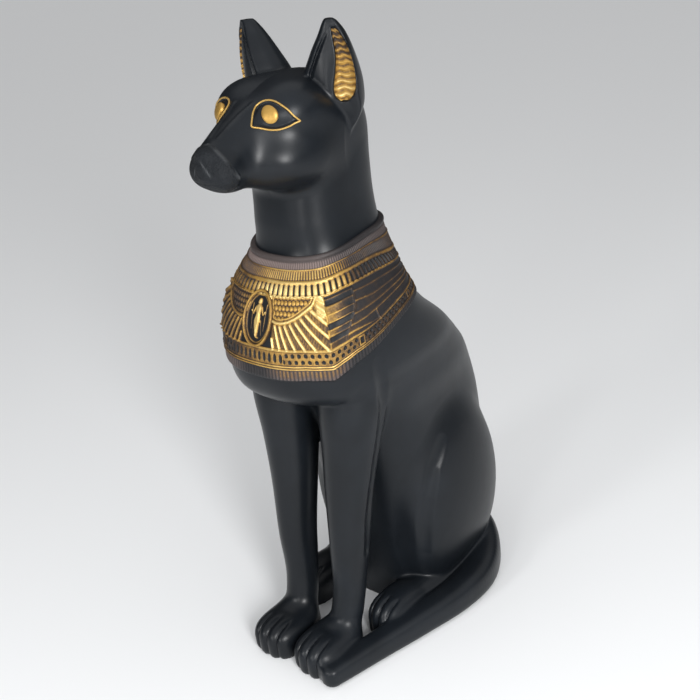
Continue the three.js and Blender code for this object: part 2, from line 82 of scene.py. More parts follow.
class CatSizes(PropertyGroup):
    body_step: FloatProperty(
        name="Body step", description="Mesh step of the trunk and legs", default=0.0022, unit="LENGTH"
    )
    feet_step: FloatProperty(
        name="Feet step", description="Mesh step of the feet and the tail", default=0.00155, unit="LENGTH"
    )
    head_step: FloatProperty(
        name="Head step", description="Mesh step of the head and neck", default=0.00128, unit="LENGTH"
    )
    collar_columns: IntProperty(
        name="Collar columns", description="Columns of faces round the collar", default=1080
    )
    collar_rows: IntProperty(
        name="Collar rows", description="Rows of faces down the collar", default=150
    )
    relief: FloatProperty(
        name="Relief", description="Height of the collar's lines over their ground",
        default=0.0013, unit="LENGTH",
    )


def colour(name, description, value):
    return FloatVectorProperty(
        name=name, description=description, subtype="COLOR", size=4, default=(*value, 1)
    )


class CatColours(PropertyGroup):
    black: colour("Black", "Body paint", (0.005, 0.0064, 0.0084))
    # Paler black on the face's ridges: rubbed paint, and partly a painted highlight.
    rubbed_black: colour("Rubbed black", "Black on the face's rubbed ridges", (0.1, 0.105, 0.11))
    gold: colour("Gold", "Rubbed gold paint", (0.42, 0.25, 0.062))
    # Pale gold: gold rubbed bright on the tops, and also painted highlight on the collar's lit side and
    # smooth feathers.
    pale_gold: colour("Pale gold", "Gold where it is rubbed bright", (0.72, 0.54, 0.22))
    bronze: colour("Bronze", "Thin gold over black", (0.1, 0.05, 0.016))
    blush: colour("Blush", "Reddish wash on the ribbed bands", (0.17, 0.13, 0.12))
    floor: colour("Floor", "Studio floor", (0.84, 0.85, 0.86))


class CatLights(PropertyGroup):
    key: FloatProperty(name="Key", description="Softbox at the front left", default=25.0, unit="POWER")
    front: FloatProperty(name="Front", description="Light at the front right", default=7.0, unit="POWER")
    window: FloatProperty(name="Window", description="Tall thin front light", default=4.5, unit="POWER")
    sky: FloatProperty(name="Sky", description="Broad soft light from above", default=1.9)
    air: FloatProperty(name="Air", description="Brightness of the surroundings", default=0.05)


# Fields and profiles


def ease(t):
    s = np.clip(t, 0, 1)
    return s * s * (3 - 2 * s)


def mix(a, b, t):
    return a + (b - a) * t


def join(a, b, k):
    """The nearer of two distance fields, rounded over the width k."""
    h = np.maximum(k - np.abs(a - b), 0) / k
    return np.minimum(a, b) - h * h * k / 4


def carve(a, b, k):
    """The field a with b cut out of it, rounded over the width k."""
    return -join(-a, b, k)


def dome(distance, half):
    """A rounded ridge, 1 on its line and 0 from half a width away."""
    return np.sqrt(np.clip(1 - (distance / half) ** 2, 0, 1))


def smooth_rows(rows):
    """A smooth curve through [place, value, value, ...] rows, as a function of the place."""
    table = np.array(rows, float)
    place, values = table[:, 0], table[:, 1:]
    count = len(rows)
    order = np.arange(count)
    before = np.maximum(order - 1, 0)
    after = np.minimum(order + 1, count - 1)
    slopes = (values[after] - values[before]) / (place[after] - place[before])[:, None]

    def read(at):
        at = np.clip(at, place[0], place[-1])
        i = np.clip(np.searchsorted(place, at, side="right") - 1, 0, count - 2)
        span = place[i + 1] - place[i]
        t = (at - place[i]) / span
        end = t * t * (3 - 2 * t)
        leave = t * (1 - t) ** 2 * span
        arrive = t * t * (t - 1) * span
        return [
            mix(values[i, k], values[i + 1, k], end) + slopes[i, k] * leave + slopes[i + 1, k] * arrive
            for k in range(values.shape[1])
        ]

    return read


def oval(u, v, a, b, roundness=2.0):
    """Signed distance, near enough, of an oval with half axes a and b. More roundness is boxier."""
    s = np.abs(u) / a
    t = np.abs(v) / b
    k = np.maximum((s**roundness + t**roundness) ** (1 / roundness), 1e-6)
    slope = np.hypot((s / k) ** (roundness - 1) / a, (t / k) ** (roundness - 1) / b)
    return (k - 1) / np.maximum(slope, 1e-6)


def loft(rows, roundness=2.0):
    """A body through rows of [place, low, high, widest, half width, middle], egg-shaped across."""
    read = smooth_rows(rows)
    start, end = rows[0][0], rows[-1][0]

    def field(across, along, place):
        low, high, widest, half_width, *rest = read(place)
        middle = rest[0] if rest else 0
        depth = np.where(along < widest, widest - low, high - widest)
        d = oval(across - middle, along - widest, half_width, depth, roundness)
        return np.maximum(d, np.maximum(start - place, place - end))

    return field


def blob(at, radii, turns=(0, 0, 0)):
    """An ellipsoid at a place, turned about x, then y, then z, in degrees."""
    turn = Matrix.Identity(3)
    for degrees, axis in zip(turns, "XYZ"):
        turn = Matrix.Rotation(math.radians(degrees), 3, axis) @ turn
    m = np.array(turn.transposed())
    a, b, c = radii

    def field(x, y, z):
        px, py, pz = x - at[0], y - at[1], z - at[2]
        u = (m[0, 0] * px + m[0, 1] * py + m[0, 2] * pz) / a
        v = (m[1, 0] * px + m[1, 1] * py + m[1, 2] * pz) / b
        w = (m[2, 0] * px + m[2, 1] * py + m[2, 2] * pz) / c
        k0 = np.sqrt(u * u + v * v + w * w)
        k1 = np.sqrt(u * u / a**2 + v * v / b**2 + w * w / c**2)
        return np.where(k1 > 1e-9, k0 * (k0 - 1) / np.maximum(k1, 1e-9), -min(radii))

    return field


def cushion(at, halves, roundness=3.0):
    """A block with rounded edges and swelling faces, by its middle and half sizes."""

    def field(x, y, z):
        parts = [np.abs(v - middle) / half for v, middle, half in zip((x, y, z), at, halves)]
        k = np.maximum(sum(p**roundness for p in parts) ** (1 / roundness), 1e-6)
        slope = np.sqrt(sum(((p / k) ** (roundness - 1) / half) ** 2 for p, half in zip(parts, halves)))
        return (k - 1) / np.maximum(slope, 1e-6)

    return field


def bar(start, end, r0, r1, roundness=3.2):
    """A bar that lies between two points, nearly square across with rounded edges."""
    dx, dy = end[0] - start[0], end[1] - start[1]
    square = dx * dx + dy * dy

    def field(x, y, z):
        px, py = x - start[0], y - start[1]
        t = np.clip((px * dx + py * dy) / square, 0, 1)
        across = np.hypot(px - dx * t, py - dy * t)
        rise = np.abs(z - mix(start[2], end[2], t))
        return (across**roundness + rise**roundness) ** (1 / roundness) - mix(r0, r1, t)

    return field


def toes(middle, pitch, depth, roots, knuckles):
    """Four toes side by side: how much the gaps between them take off, from their roots forward."""

    def taken(side, y):
        place = np.clip((side - middle) / pitch, -1.5, 1.5)
        off = 2 * np.abs(place - np.floor(place) - 0.5)
        return depth * (1 - np.sqrt(1 - 0.96 * off * off)) * ease((roots - y) / (roots - knuckles))

    return taken


def limb(start, end, r0, r1):
    """A round limb between two points, tapering from one radius to the other."""
    start, end = np.array(start, float), np.array(end, float)
    d = end - start
    square = d @ d

    def field(x, y, z):
        px, py, pz = x - start[0], y - start[1], z - start[2]
        t = np.clip((px * d[0] + py * d[1] + pz * d[2]) / square, 0, 1)
        away = np.sqrt((px - d[0] * t) ** 2 + (py - d[1] * t) ** 2 + (pz - d[2] * t) ** 2)
        return away - mix(r0, r1, t)

    return field


def valley(points, half, depth):
    """A soft valley along a line of points: how much it takes off the surface at a place."""
    spans = [limb(a, b, 0, 0) for a, b in zip(points, points[1:])]

    def taken(x, y, z):
        away = np.minimum.reduce([span(x, y, z) for span in spans])
        return depth * ease(1 - away / half)

    return taken


# The form, in hundredths of the height: trunk and neck by height as front, back, widest, half width.

trunk = loft(
    [
        [-2, -7, 13.5, 4, 10.5],
        [6, -7.5, 16.5, 5, 11.4],
        [14, -8, 19.2, 5, 11.8],
        [24, -9, 21.6, 3, 12],
        [32, -10.5, 21.9, 0, 12],
        [38, -12, 20.6, -2, 12.1],
        [42.5, -14.6, 18.4, -3, 12.9],
        [45, -18.2, 16.5, -3.7, 13.2],
        [47, -22.6, 14.8, -4.3, 13.5],
        [50, -24.4, 11.8, -5, 14.1],
        [55, -24.2, 6.1, -7, 14],
        [60, -22.4, 1.9, -8, 13.4],
        [64, -20.1, 1.4, -8.2, 11.3],
        [68, -17, 1.6, -8, 8.9],
        [73, -16.5, 1.4, -8, 8],
        [79, -15.8, 1.3, -7.5, 8],
        [84, -15, 1.5, -7, 8.1],
        [88, -14, 1.3, -6.8, 7.8],
    ],
    2.5,
)
cranium = blob([0, -9.4, 86.4], [8.9, 11, 6.9])
brow = blob([4, -13.3, 89], [4.5, 5, 3.9], [0, 0, 20])
jowl = blob([3.2, -13, 82.6], [5.4, 8, 4.4], [-4, 0, 12])
# The muzzle goes by distance forward: jaw, bridge, widest, half width.
muzzle = loft(
    [
        [10, 78.2, 90.6, 84, 7.6],
        [14, 77.6, 90.6, 84, 7.4],
        [17, 78.4, 90.8, 84.2, 6.3],
        [19.5, 79.2, 90.4, 84, 5.1],
        [22, 79.9, 89.4, 83.8, 4.2],
        [24.5, 80.5, 88, 83.6, 3.7],
        [26.5, 81, 86.8, 83.6, 3.1],
        [27.6, 82, 85.8, 83.8, 2],
        [28.2, 83, 84.8, 83.9, 0.8],
    ],
    2.2,
)
whisker_pad = blob([1.8, -25.2, 83.5], [2.3, 2.6, 2.6], [0, 0, 14])
nose = blob([0, -26.6, 85.8], [1.9, 1.4, 1.2], [-24, 0, 0])
chin = blob([0, -24.2, 81.2], [2.1, 2.6, 1.2], [-14, 0, 0])


def head(side, x, y, z):
    d = join(cranium(x, y, z), muzzle(x, z, -y), 2)
    d = join(d, brow(side, y, z), 2)
    d = join(d, jowl(side, y, z), 2.4)
    d = join(d, whisker_pad(side, y, z), 0.7)
    d = join(d, nose(x, y, z), 0.6)
    return join(d, chin(x, y, z), 0.6)


# An ear is measured in the plane across by out and wide. Rows by height: middle, half width, back, front.
EAR_FOOT = 83.2
EAR_TIP = 100
EAR_TURN = math.radians(44)
EAR_SLOPE = 0.4
ear_shell = smooth_rows(
    [
        [EAR_FOOT, 0.1, 0.3, 7, 10.4],
        [84.5, 0.5, 0.9, 6.4, 11],
        [86.2, 1, 1.8, 5.6, 11.8],
        [87.8, 0.9, 2.8, 5.2, 12.2],
        [89.5, 0.2, 3.8, 5.1, 12.3],
        [92, -0.2, 4.1, 5.6, 12.4],
        [95.3, 0.1, 3.1, 7.2, 12.4],
        [98, 0.4, 1.9, 8.7, 12.2],
        [99.6, 0.3, 1, 9.8, 12],
        [EAR_TIP, 0.2, 0.6, 10.2, 12],
    ]
)
HOLLOW_FOOT = 89
HOLLOW_TIP = 98.9
ear_hollow = smooth_rows(
    [
        [HOLLOW_FOOT, 0.95, 0.4, 0.4],
        [89.8, 1, 1.2, 1],
        [91, 1.2, 1.5, 1.3],
        [93.2, 1.5, 1.3, 1.3],
        [95.3, 1.5, 1, 1.1],
        [97, 1.2, 0.75, 0.8],
        [HOLLOW_TIP, 0.65, 0.3, 0.3],
    ]
)


def ear_axes(x, y):
    """Out through the ear's opening, and wide across it."""
    out = x * math.sin(EAR_TURN) - y * math.cos(EAR_TURN)
    wide = x * math.cos(EAR_TURN) + y * math.sin(EAR_TURN)
    return out, wide


def from_ear_axes(out, wide):
    """The x and y of a place on the ear's axes."""
    x = out * math.sin(EAR_TURN) + wide * math.cos(EAR_TURN)
    y = wide * math.sin(EAR_TURN) - out * math.cos(EAR_TURN)
    return x, y


def ear_front(wide, z):
    """How far out the ear's front lies. Its inner half swells, between a crease and the hollow."""
    middle, half_width, _, brim = ear_shell(z)
    swell = 0.8 * ease(1 - np.abs(wide - middle + 1.3) / 2.5)
    swell = swell * ease((z - 86.5) / 3.5) * np.clip((99 - z) / 9, 0, 1)
    fold = 0.5 * ease(1 - np.abs(wide - middle + half_width - 0.9) / 0.4)
    fold = fold * ease((z - 88) / 4) * ease((99 - z) / 3)
    return brim + EAR_SLOPE * (wide - middle) + swell - fold


def ear(x, y, z):
    out, wide = ear_axes(x, y)
    middle, half_width, back, brim = ear_shell(z)
    heart = mix(back, brim, 0.5)
    depth = np.where(out < heart, heart - back, (brim - heart) * 1.7)
    cup = oval(wide - middle, out - heart, half_width, depth, 2.2)
    front = ear_front(wide, z) - out
    shell = np.maximum(carve(cup, front, 0.45), np.maximum(EAR_FOOT - z, z - EAR_TIP))
    hollow_middle, hollow_half, hollow_depth = ear_hollow(z)
    bowl = oval(wide - hollow_middle, front, hollow_half, hollow_depth, 3)
    hollow = np.maximum(bowl, np.maximum(HOLLOW_FOOT - z, z - HOLLOW_TIP))
    return carve(shell, hollow, 0.3)


foreleg = loft(
    [
        [-1, -24, -17.8, -21, 2.8, 4.9],
        [3, -23.6, -17.6, -20.6, 2.8, 4.9],
        [6.5, -22, -16.2, -19.2, 2.7, 5.1],
        [11, -20.9, -14.9, -18, 2.65, 5.4],
        [18, -20.6, -13.4, -17, 2.95, 5.8],
        [28, -19.6, -11.2, -15.4, 3.7, 6],
        [36, -19, -9, -14, 4.4, 6.5],
        [44, -18.6, -7, -13, 5.2, 7.2],
        [50, -17, -6, -12, 5.2, 7.6],
    ]
)
forepaw = cushion([4.6, -24.4, 2.1], [4.4, 5.5, 3.5])
fore_toes = toes(middle=4.5, pitch=2, depth=0.72, roots=-24.6, knuckles=-27.4)


def forelimb(side, y, z):
    return join(foreleg(side, y, z), forepaw(side, y, z) + fore_toes(side, y), 2)


thigh = blob([8.7, 6.4, 19.5], [6.5, 12.2, 17.5], [8, 0, 3])
shin = blob([8.6, 1, 12], [4.4, 6.4, 13])
hindpaw = cushion([8.6, -10.8, 1.7], [3.5, 5.5, 4.4])
hind_toes = toes(middle=8.6, pitch=1.65, depth=0.75, roots=-11.2, knuckles=-13.6)
hindfoot = limb([9, -10, 2.6], [10.5, 8, 3], 2.9, 3.4)
haunch_fold = valley(
    [
        (11.3, -6.4, 6.5),
        (11.4, -5.3, 11),
        (12, -5.1, 17),
        (12.6, -4.2, 22.5),
        (13.2, -2.4, 27.5),
        (14, 0.4, 31.5),
    ],
    1.7,
    0.75,
)


def hindlimb(side, y, z):
    leg = join(thigh(side, y, z), shin(side, y, z), 3) + haunch_fold(side, y, z)
    foot = join(hindpaw(side, y, z) + hind_toes(side, y), hindfoot(side, y, z), 1)
    return join(leg, foot, 0.6)


# The foreleg stands proud of the flank behind this fold.
shoulder_fold = valley(
    [
        (14.6, -13.6, 52),
        (13.3, -12.3, 47.5),
        (12.4, -11.7, 43.5),
        (11.1, -12, 38),
        (10, -13.4, 31),
        (9.2, -15, 24),
        (8.6, -15.6, 18),
    ],
    1.5,
    0.6,
)

TAIL_POINTS = [
    [0, 14, 3.6],
    [6, 15, 3.4],
    [11.4, 11.2, 3.1],
    [14.9, 5.2, 2.7],
    [15.2, -2, 2.4],
    [13.3, -11, 2.2],
    [11.2, -19, 2],
    [8.9, -28.3, 1.8],
]
TAIL_STEPS = 88
TAIL_TOP = 9
tail_radius = smooth_rows([[0, 4], [0.3, 3.1], [0.5, 2.6], [0.75, 2.2], [1, 1.85]])


def curve_points(points, steps):
    """Points at equal steps along a smooth curve through the given ones."""
    points = np.array(points, float)
    gaps = np.sqrt(np.linalg.norm(np.diff(points, axis=0), axis=1))
    knots = np.concatenate([[0], np.cumsum(gaps)])
    read = smooth_rows([[k, *p] for k, p in zip(knots, points)])
    fine = np.stack(read(np.linspace(0, knots[-1], 40 * steps)), 1)
    run = np.concatenate([[0], np.cumsum(np.linalg.norm(np.diff(fine, axis=0), axis=1))])
    even = np.linspace(0, run[-1], steps + 1)
    return np.stack([np.interp(even, run, fine[:, k]) for k in range(fine.shape[1])], 1)


tail_run = curve_points(TAIL_POINTS, TAIL_STEPS)
tail_widths = tail_radius(np.linspace(0, 1, TAIL_STEPS + 1))[0]
tail_spans = [bar(*ends) for ends in zip(tail_run, tail_run[1:], tail_widths, tail_widths[1:])]


def tail(x, y, z):
    d = np.minimum.reduce([span(x, y, z) for span in tail_spans])
    return np.where((z > TAIL_TOP) | (x < -6), TAIL_TOP, d)


def breast(x, y, z):
    """Trunk and forelegs, which the collar lies on."""
    return join(trunk(x, y, z), forelimb(np.abs(x), y, z), 1)


def torso(x, y, z):
    side = np.abs(x)
    return join(breast(x, y, z) + shoulder_fold(side, y, z), hindlimb(side, y, z), 1.4)


def bust(x, y, z):
    """Neck and head, without the ears' hollows or the eyes."""
    nape = carve(trunk(x, y, z), 88 - z, 5)
    return join(nape, head(np.abs(x), x, y, z), 1.6)


# Fine carving

# The eye's outline by wide: lower and upper height.
EYE_INNER = -12.05
EYE_OUTER = -5.5
eye_lids = smooth_rows(
    [
        [EYE_INNER, 88.45, 88.55],
        [-11.85, 88.3, 89.2],
        [-11.6, 88.22, 89.9],
        [-11, 88.05, 90.65],
        [-9.7, 87.66, 91.2],
        [-8.4, 87.55, 91.05],
        [-7, 87.8, 90.05],
        [-6.2, 88.1, 89.05],
        [EYE_OUTER, 88.25, 88.3],
    ]
)
IRIS_WIDE = -9.34
IRIS_HEIGHT = 89.5
IRIS_RADII = (1.08, 1.1)
EYE_LINE_RADIUS = 0.13

pad_edge = valley(
    [(0, -26, 87.2), (1.78, -26.33, 86.54), (3.31, -26.26, 85.29), (4.11, -25.61, 83.53), (4.2, -25, 82.4)],
    0.42,
    -0.2,
)
mouth = valley([(0, -27.7, 82.1), (0.9, -27.8, 82.1), (2, -27.5, 82.2), (2.9, -26.4, 81.9)], 0.3, 0.24)
lip = valley(
    [(0, -27.95, 85.6), (0.66, -28.09, 84.8), (1.2, -28.03, 84.14), (1.65, -27.93, 83.3)],
    0.2,
    -0.12,
)
snout_edge = valley(
    [(1, -24.6, 87.7), (1.25, -23, 88.7), (1.45, -20.7, 89.85), (1.9, -18.6, 90.7)],
    0.8,
    -0.16,
)
# The ridges whose paint is rubbed paler, which also paints a highlight along them, with the depth, below zero
# as a rise, at which it is rubbed fully.
RUBBED_AND_HIGHLIT_RIDGES = ((pad_edge, -0.2), (lip, -0.12), (snout_edge, -0.6))
# How far back the stippled pad runs at each height.
PAD_HEIGHTS = (80.5, 82.4, 83.5, 85.3, 86.5, 87.2)
PAD_BACKS = (-24.8, -25, -25.6, -26.2, -26.3, -26)


def eyeball(side, y, z):
    """The eye's ball sunk a little within its rim, in the face's field."""
    wide = ear_axes(side, y)[1]
    lower, upper = eye_lids(wide)
    within = np.minimum(np.minimum(upper - z, z - lower), np.minimum(wide - EYE_INNER, EYE_OUTER - wide))
    near = (y < -12) & (z > 85)
    swell = 0.3 * ease(1 - np.hypot(wide - IRIS_WIDE, z - IRIS_HEIGHT) / 2.4)
    return np.where(near, (swell - 0.34) * ease(within / 0.4), 0)


def head_form(x, y, z):
    side = np.abs(x)
    face = bust(x, y, z) - eyeball(side, y, z)
    for line in (pad_edge, mouth, lip, snout_edge):
        face = face + line(side, y, z)
    return join(face, ear(side, y, z), 0.5)


def feet_form(x, y, z):
    """Legs, feet and tail, cut off flat at the ground."""
    return np.maximum(join(torso(x, y, z), tail(x, y, z), 0.8), -z)


# The boxes that the black pieces are meshed in. The collar covers the gap from the body to the head.
BODY_BOX = ((-16, -27, 8.4), (17, 24, 59.5))
FEET_BOX = ((-16, -32, -0.6), (20, 24, 9.1))
HEAD_BOX = ((-15, -31, 65.5), (15, 6, 101))


# Meshes of a field


def gradient(field, points, reach=0.02):
    """The field's slope at each point, measured over a reach to either side."""
    steps = np.eye(3) * reach
    sides = [field(*(points + step).T) - field(*(points - step).T) for step in steps]
    return np.stack(sides, 1) / (2 * reach)


def facing(field, points, reach=0.02):
    """Unit vectors that point out of the field's surface."""
    slope = gradient(field, points, reach)
    return slope / np.maximum(np.linalg.norm(slope, axis=1, keepdims=True), 1e-9)


def settle(field, points, rounds):
    """Moves points onto the surface where the field is zero."""
    for _ in range(rounds):
        slope = gradient(field, points)
        away = field(*points.T) / np.maximum((slope * slope).sum(1), 0.2)
        points = points - slope * np.clip(away, -0.3, 0.3)[:, None]
    return points


def grid_values(field, low, counts, step):
    """The field on a grid, a few levels at a time."""
    axes = [low[i] + step * np.arange(counts[i]) for i in range(3)]
    levels = 12
    slabs = [
        field(axes[0][:, None, None], axes[1][None, :, None], axes[2][None, None, k : k + levels])
        for k in range(0, counts[2], levels)
    ]
    return np.concatenate(slabs, axis=2)


def surface_net(field, low, high, step):
    """Points and quads of the surface where the field is zero, between two corners."""
    low, high = np.array(low, float), np.array(high, float)
    counts = np.ceil((high - low) / step).astype(int) + 1
    values = grid_values(field, low, counts, step)
    inside = values < 0
    corners = [(a, b, c) for a in (0, 1) for b in (0, 1) for c in (0, 1)]

    def shifted(array, corner):
        return array[tuple(slice(s, n - 1 + s) for s, n in zip(corner, counts))]

    filled = sum(shifted(inside, corner).astype(np.uint8) for corner in corners)
    cells = np.argwhere((filled > 0) & (filled < 8))
    ids = np.full(filled.shape, -1)
    ids[tuple(cells.T)] = np.arange(len(cells))
    total = np.zeros((len(cells), 3))
    hits = np.zeros(len(cells))
    for start in corners:
        for axis in range(3):
            if start[axis]:
                continue
            end = np.array(start)
            end[axis] = 1
            va = values[tuple((cells + start).T)]
            vb = values[tuple((cells + end).T)]
            cross = (va < 0) != (vb < 0)
            t = np.where(cross, va / np.where(cross, va - vb, 1), 0)
            place = np.array(start) + t[:, None] * (end - start)
            total += place * cross[:, None]
            hits += cross
    points = low + step * (cells + total / hits[:, None])
    quads = []
    for axis in range(3):
        one, two = [k for k in range(3) if k != axis]
        a = [slice(1, -1)] * 3
        b = [slice(1, -1)] * 3
        a[axis] = slice(0, -1)
        b[axis] = slice(1, None)
        change = inside[tuple(a)] != inside[tuple(b)]
        edges = np.argwhere(change)
        base = edges + 1
        base[:, axis] -= 1
        leaving = inside[tuple(base.T)]
        ring = []
        for s, t in ((1, 1), (0, 1), (0, 0), (1, 0)):
            cell = base.copy()
            cell[:, one] -= s
            cell[:, two] -= t
            ring.append(ids[tuple(cell.T)])
        quad = np.stack(ring, 1)
        turned = leaving ^ (axis == 1)
        quads.append(np.where(turned[:, None], quad, quad[:, ::-1]))
    return points, np.concatenate(quads)


def relax(points, quads, held):
    """Moves each point that isn't held half way to the middle of its neighbours."""
    ends = np.concatenate([quads, np.roll(quads, 1, axis=1)]).ravel()
    others = np.concatenate([np.roll(quads, 1, axis=1), quads]).ravel()
    count = np.maximum(np.bincount(ends, minlength=len(points)), 1)
    middle = np.stack([np.bincount(ends, points[others, k], len(points)) for k in range(3)], 1)
    moved = mix(points, middle / count[:, None], 0.5)
    return np.where(held[:, None], points, moved)


def skin(field, low, high, step):
    """A fine, even mesh of the field's surface with its outward directions. The step is in metres."""
    points, quads = surface_net(field, low, high, step / UNIT)
    edges = np.sort(np.stack([quads, np.roll(quads, -1, axis=1)], 2).reshape(-1, 2), axis=1)
    keys, counts = np.unique(edges[:, 0] * len(points) + edges[:, 1], return_counts=True)
    border = keys[counts == 1]
    held = np.zeros(len(points), bool)
    held[border // len(points)] = True
    held[border % len(points)] = True
    for _ in range(3):
        points = settle(field, relax(points, quads, held), 1)
    points = settle(field, points, 2)
    used = np.unique(quads)
    place = np.full(len(points), -1)
    place[used] = np.arange(len(used))
    points, quads = points[used], place[quads]
    return points, quads, facing(field, points, 0.12)


def to_frame(points):
    return (points - MIDDLE) * UNIT


def new_piece(name, points, quads, paint, slot, normals=None, **shades):
    """A painted mesh object of the figure from points in the form's units, with shades for its paint."""
    if not len(quads):
        raise RuntimeError(f"{name} has no faces")
    mesh = bpy.data.meshes.new(name)
    points = np.asarray(to_frame(points), np.float32)
    mesh.vertices.add(len(points))
    mesh.vertices.foreach_set("co", points.ravel())
    mesh.loops.add(quads.size)
    mesh.loops.foreach_set("vertex_index", quads.ravel().astype(np.int32))
    mesh.polygons.add(len(quads))
    mesh.polygons.foreach_set("loop_start", np.arange(0, quads.size, 4, dtype=np.int32))
    mesh.update(calc_edges=True)
    mesh.validate()
    mesh.shade_smooth()
    for shade, values in shades.items():
        layer = mesh.attributes.new(shade, "FLOAT", "POINT")
        layer.data.foreach_set("value", np.broadcast_to(np.ravel(values), len(points)).astype(np.float32))
    if normals is not None:
        mesh.normals_split_custom_set_from_vertices(normals.tolist())
    mesh.materials.append(bpy.data.materials.get(paint) or PAINTS[paint]())
    piece = bpy.data.objects.new(name, mesh)
    bpy.context.collection.objects.link(piece)
    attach(piece, BODY)
    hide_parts(FIGURE)


def sheet_quads(rows, columns, closed=False):
    """Quads of a grid of points, rows by columns, closed round its columns or not."""
    across = columns if closed else columns - 1
    i, j = np.meshgrid(np.arange(rows - 1), np.arange(across), indexing="ij")
    k = (j + 1) % columns
    corners = (i * columns + j, (i + 1) * columns + j, (i + 1) * columns + k, i * columns + k)
    return np.stack(corners, -1).reshape(-1, 4)


# Paints


class Wire:
    """A number in a material, with arithmetic that adds Math nodes."""

    def __init__(self, finish, socket):
        self.finish = finish
        self.socket = socket

    def math(self, operation, *values):
        values = [v.socket if isinstance(v, Wire) else v for v in values]
        return self.finish.number("ShaderNodeMath", {"operation": operation}, dict(enumerate(values)))

    def __add__(self, other):
        return self.math("ADD", self, other)

    def __radd__(self, other):
        return self.math("ADD", other, self)

    def __sub__(self, other):
        return self.math("SUBTRACT", self, other)

    def __rsub__(self, other):
        return self.math("SUBTRACT", other, self)

    def __mul__(self, other):
        return self.math("MULTIPLY", self, other)

    def __rmul__(self, other):
        return self.math("MULTIPLY", other, self)

    def ramp(self, start, end):
        """Rises smoothly from 0 at start to 1 at end."""
        settings = {"interpolation_type": "SMOOTHSTEP"}
        values = {"Value": self.socket, "From Min": start, "From Max": end}
        return self.finish.number("ShaderNodeMapRange", settings, values)


class Finish:
    """A material under construction."""

    def __init__(self, name):
        self.material = bpy.data.materials.new(name)
        self.material.use_nodes = True
        self.tree = self.material.node_tree
        self.tree.nodes.clear()
        self.place = self.node("ShaderNodeTexCoord").outputs["Object"]

    def node(self, kind, settings=None, values=None):
        """A node of a type, with its settings first and then its sockets' values or links."""
        node = self.tree.nodes.new(kind)
        for key, value in (settings or {}).items():
            setattr(node, key, value)
        for key, value in (values or {}).items():
            value = value.socket if isinstance(value, Wire) else value
            if isinstance(value, bpy.types.NodeSocket):
                self.tree.links.new(value, node.inputs[key])
            else:
                node.inputs[key].default_value = value
        return node

    def number(self, kind, settings=None, values=None, output=0):
        return Wire(self, self.node(kind, settings, values).outputs[output])

    def shade(self, name):
        """A number that the piece's mesh gives at each point."""
        return self.number("ShaderNodeAttribute", {"attribute_name": name}, output="Fac")

    def noise(self, scale, detail, roughness=0.5):
        values = {"Vector": self.place, "Scale": scale, "Detail": detail, "Roughness": roughness}
        return self.number("ShaderNodeTexNoise", None, values)

    def blend(self, share, first, second):
        """A colour between two colours."""
        values = {0: share, 6: first, 7: second}
        return self.node("ShaderNodeMix", {"data_type": "RGBA"}, values).outputs[2]

    def bump(self, height, distance, strength, normal=None):
        values = {"Height": height, "Distance": distance, "Strength": strength}
        if normal is not None:
            values["Normal"] = normal
        return self.node("ShaderNodeBump", None, values).outputs["Normal"]

    def done(self, **values):
        """The material, with the shader's sockets by name."""
        values = {name.replace("_", " "): value for name, value in values.items()}
        shader = self.node("ShaderNodeBsdfPrincipled", None, values)
        self.node("ShaderNodeOutputMaterial", None, {"Surface": shader.outputs["BSDF"]})
        return self.material


def black_paint():
    """Satin black paint, brushed a little unevenly, stippled, and rubbed paler where the shades say so, which
    on the face's ridges is partly a painted highlight.
    """
    colours = bpy.context.scene.cat_colours
    paint = Finish(SATIN_BLACK)
    cloud = paint.noise(9.0, 4.0, 0.6)
    brush = paint.noise(55.0, 3.0)
    grain = paint.noise(420.0, 2.0)
    stipple = paint.shade("stipple")
    # Paler paint along the face's ridges: rubbed paint, and partly a painted highlight.
    rub = paint.shade("rub") * brush.ramp(0.3, 0.6)
    dust = (paint.noise(900.0, 1.0).ramp(0.63, 0.7) * cloud.ramp(0.45, 0.7)) * 0.25
    black = tuple(colours.black)
    # A lighter, worn black, mixed in at random by the cloud.
    tone_shift = (*(2.6 * share for share in black[:3]), 1)
    base = paint.blend(cloud.ramp(0.35, 0.75) * 0.5 + dust, black, tone_shift)
    base = paint.blend(rub, base, tuple(colours.rubbed_black))
    rough = cloud * 0.12 + brush * 0.08 + stipple * 0.3 + 0.25
    relief = brush * 0.5 + grain * 0.12
    normal = paint.bump(relief, 0.0006, 0.35)
    rubble = paint.noise(260.0, 4.0, 0.7)
    normal = paint.bump(rubble * stipple, 0.002, 0.9, normal)
    return paint.done(
        Base_Color=base, Roughness=rough, Normal=normal, Metallic=0.0, Specular_IOR_Level=0.25, IOR=1.5
    )


def gold_paint():
    """Antique gold paint: gold by its shade, bright on the tops, bronze and black in the hollows, and on the
    collar's lit side fuller and brighter as painted light.
    """
    colours = bpy.context.scene.cat_colours
    paint = Finish(RUBBED_GOLD)
    gold = paint.shade("gold")
    bright = paint.shade("bright")
    blush = paint.shade("blush")
    wear = paint.noise(120.0, 4.0, 0.65)
    speck = paint.noise(520.0, 3.0, 0.6)
    uneven = wear - 0.5
    cover = (gold + uneven * 0.5 + (speck - 0.5) * 0.35).ramp(0.28, 0.72)
    thinness = (gold * 1.6 + uneven * 0.6).ramp(0.1, 0.9)
    richness = (bright + uneven * 0.5).ramp(0.25, 0.85)
    under = paint.blend(blush, tuple(colours.black), tuple(colours.blush))
    thin = paint.blend(thinness, under, tuple(colours.bronze))
    rich = paint.blend(richness, tuple(colours.gold), tuple(colours.pale_gold))
    return paint.done(
        Base_Color=paint.blend(cover, thin, rich),
        Metallic=cover * 0.55,
        Roughness=0.46 - cover * 0.1 + wear * 0.12,
        Normal=paint.bump(speck + wear, 0.0005, 0.3),
        Specular_IOR_Level=0.3,
    )


PAINTS = {SATIN_BLACK: black_paint, RUBBED_GOLD: gold_paint}


# Collar


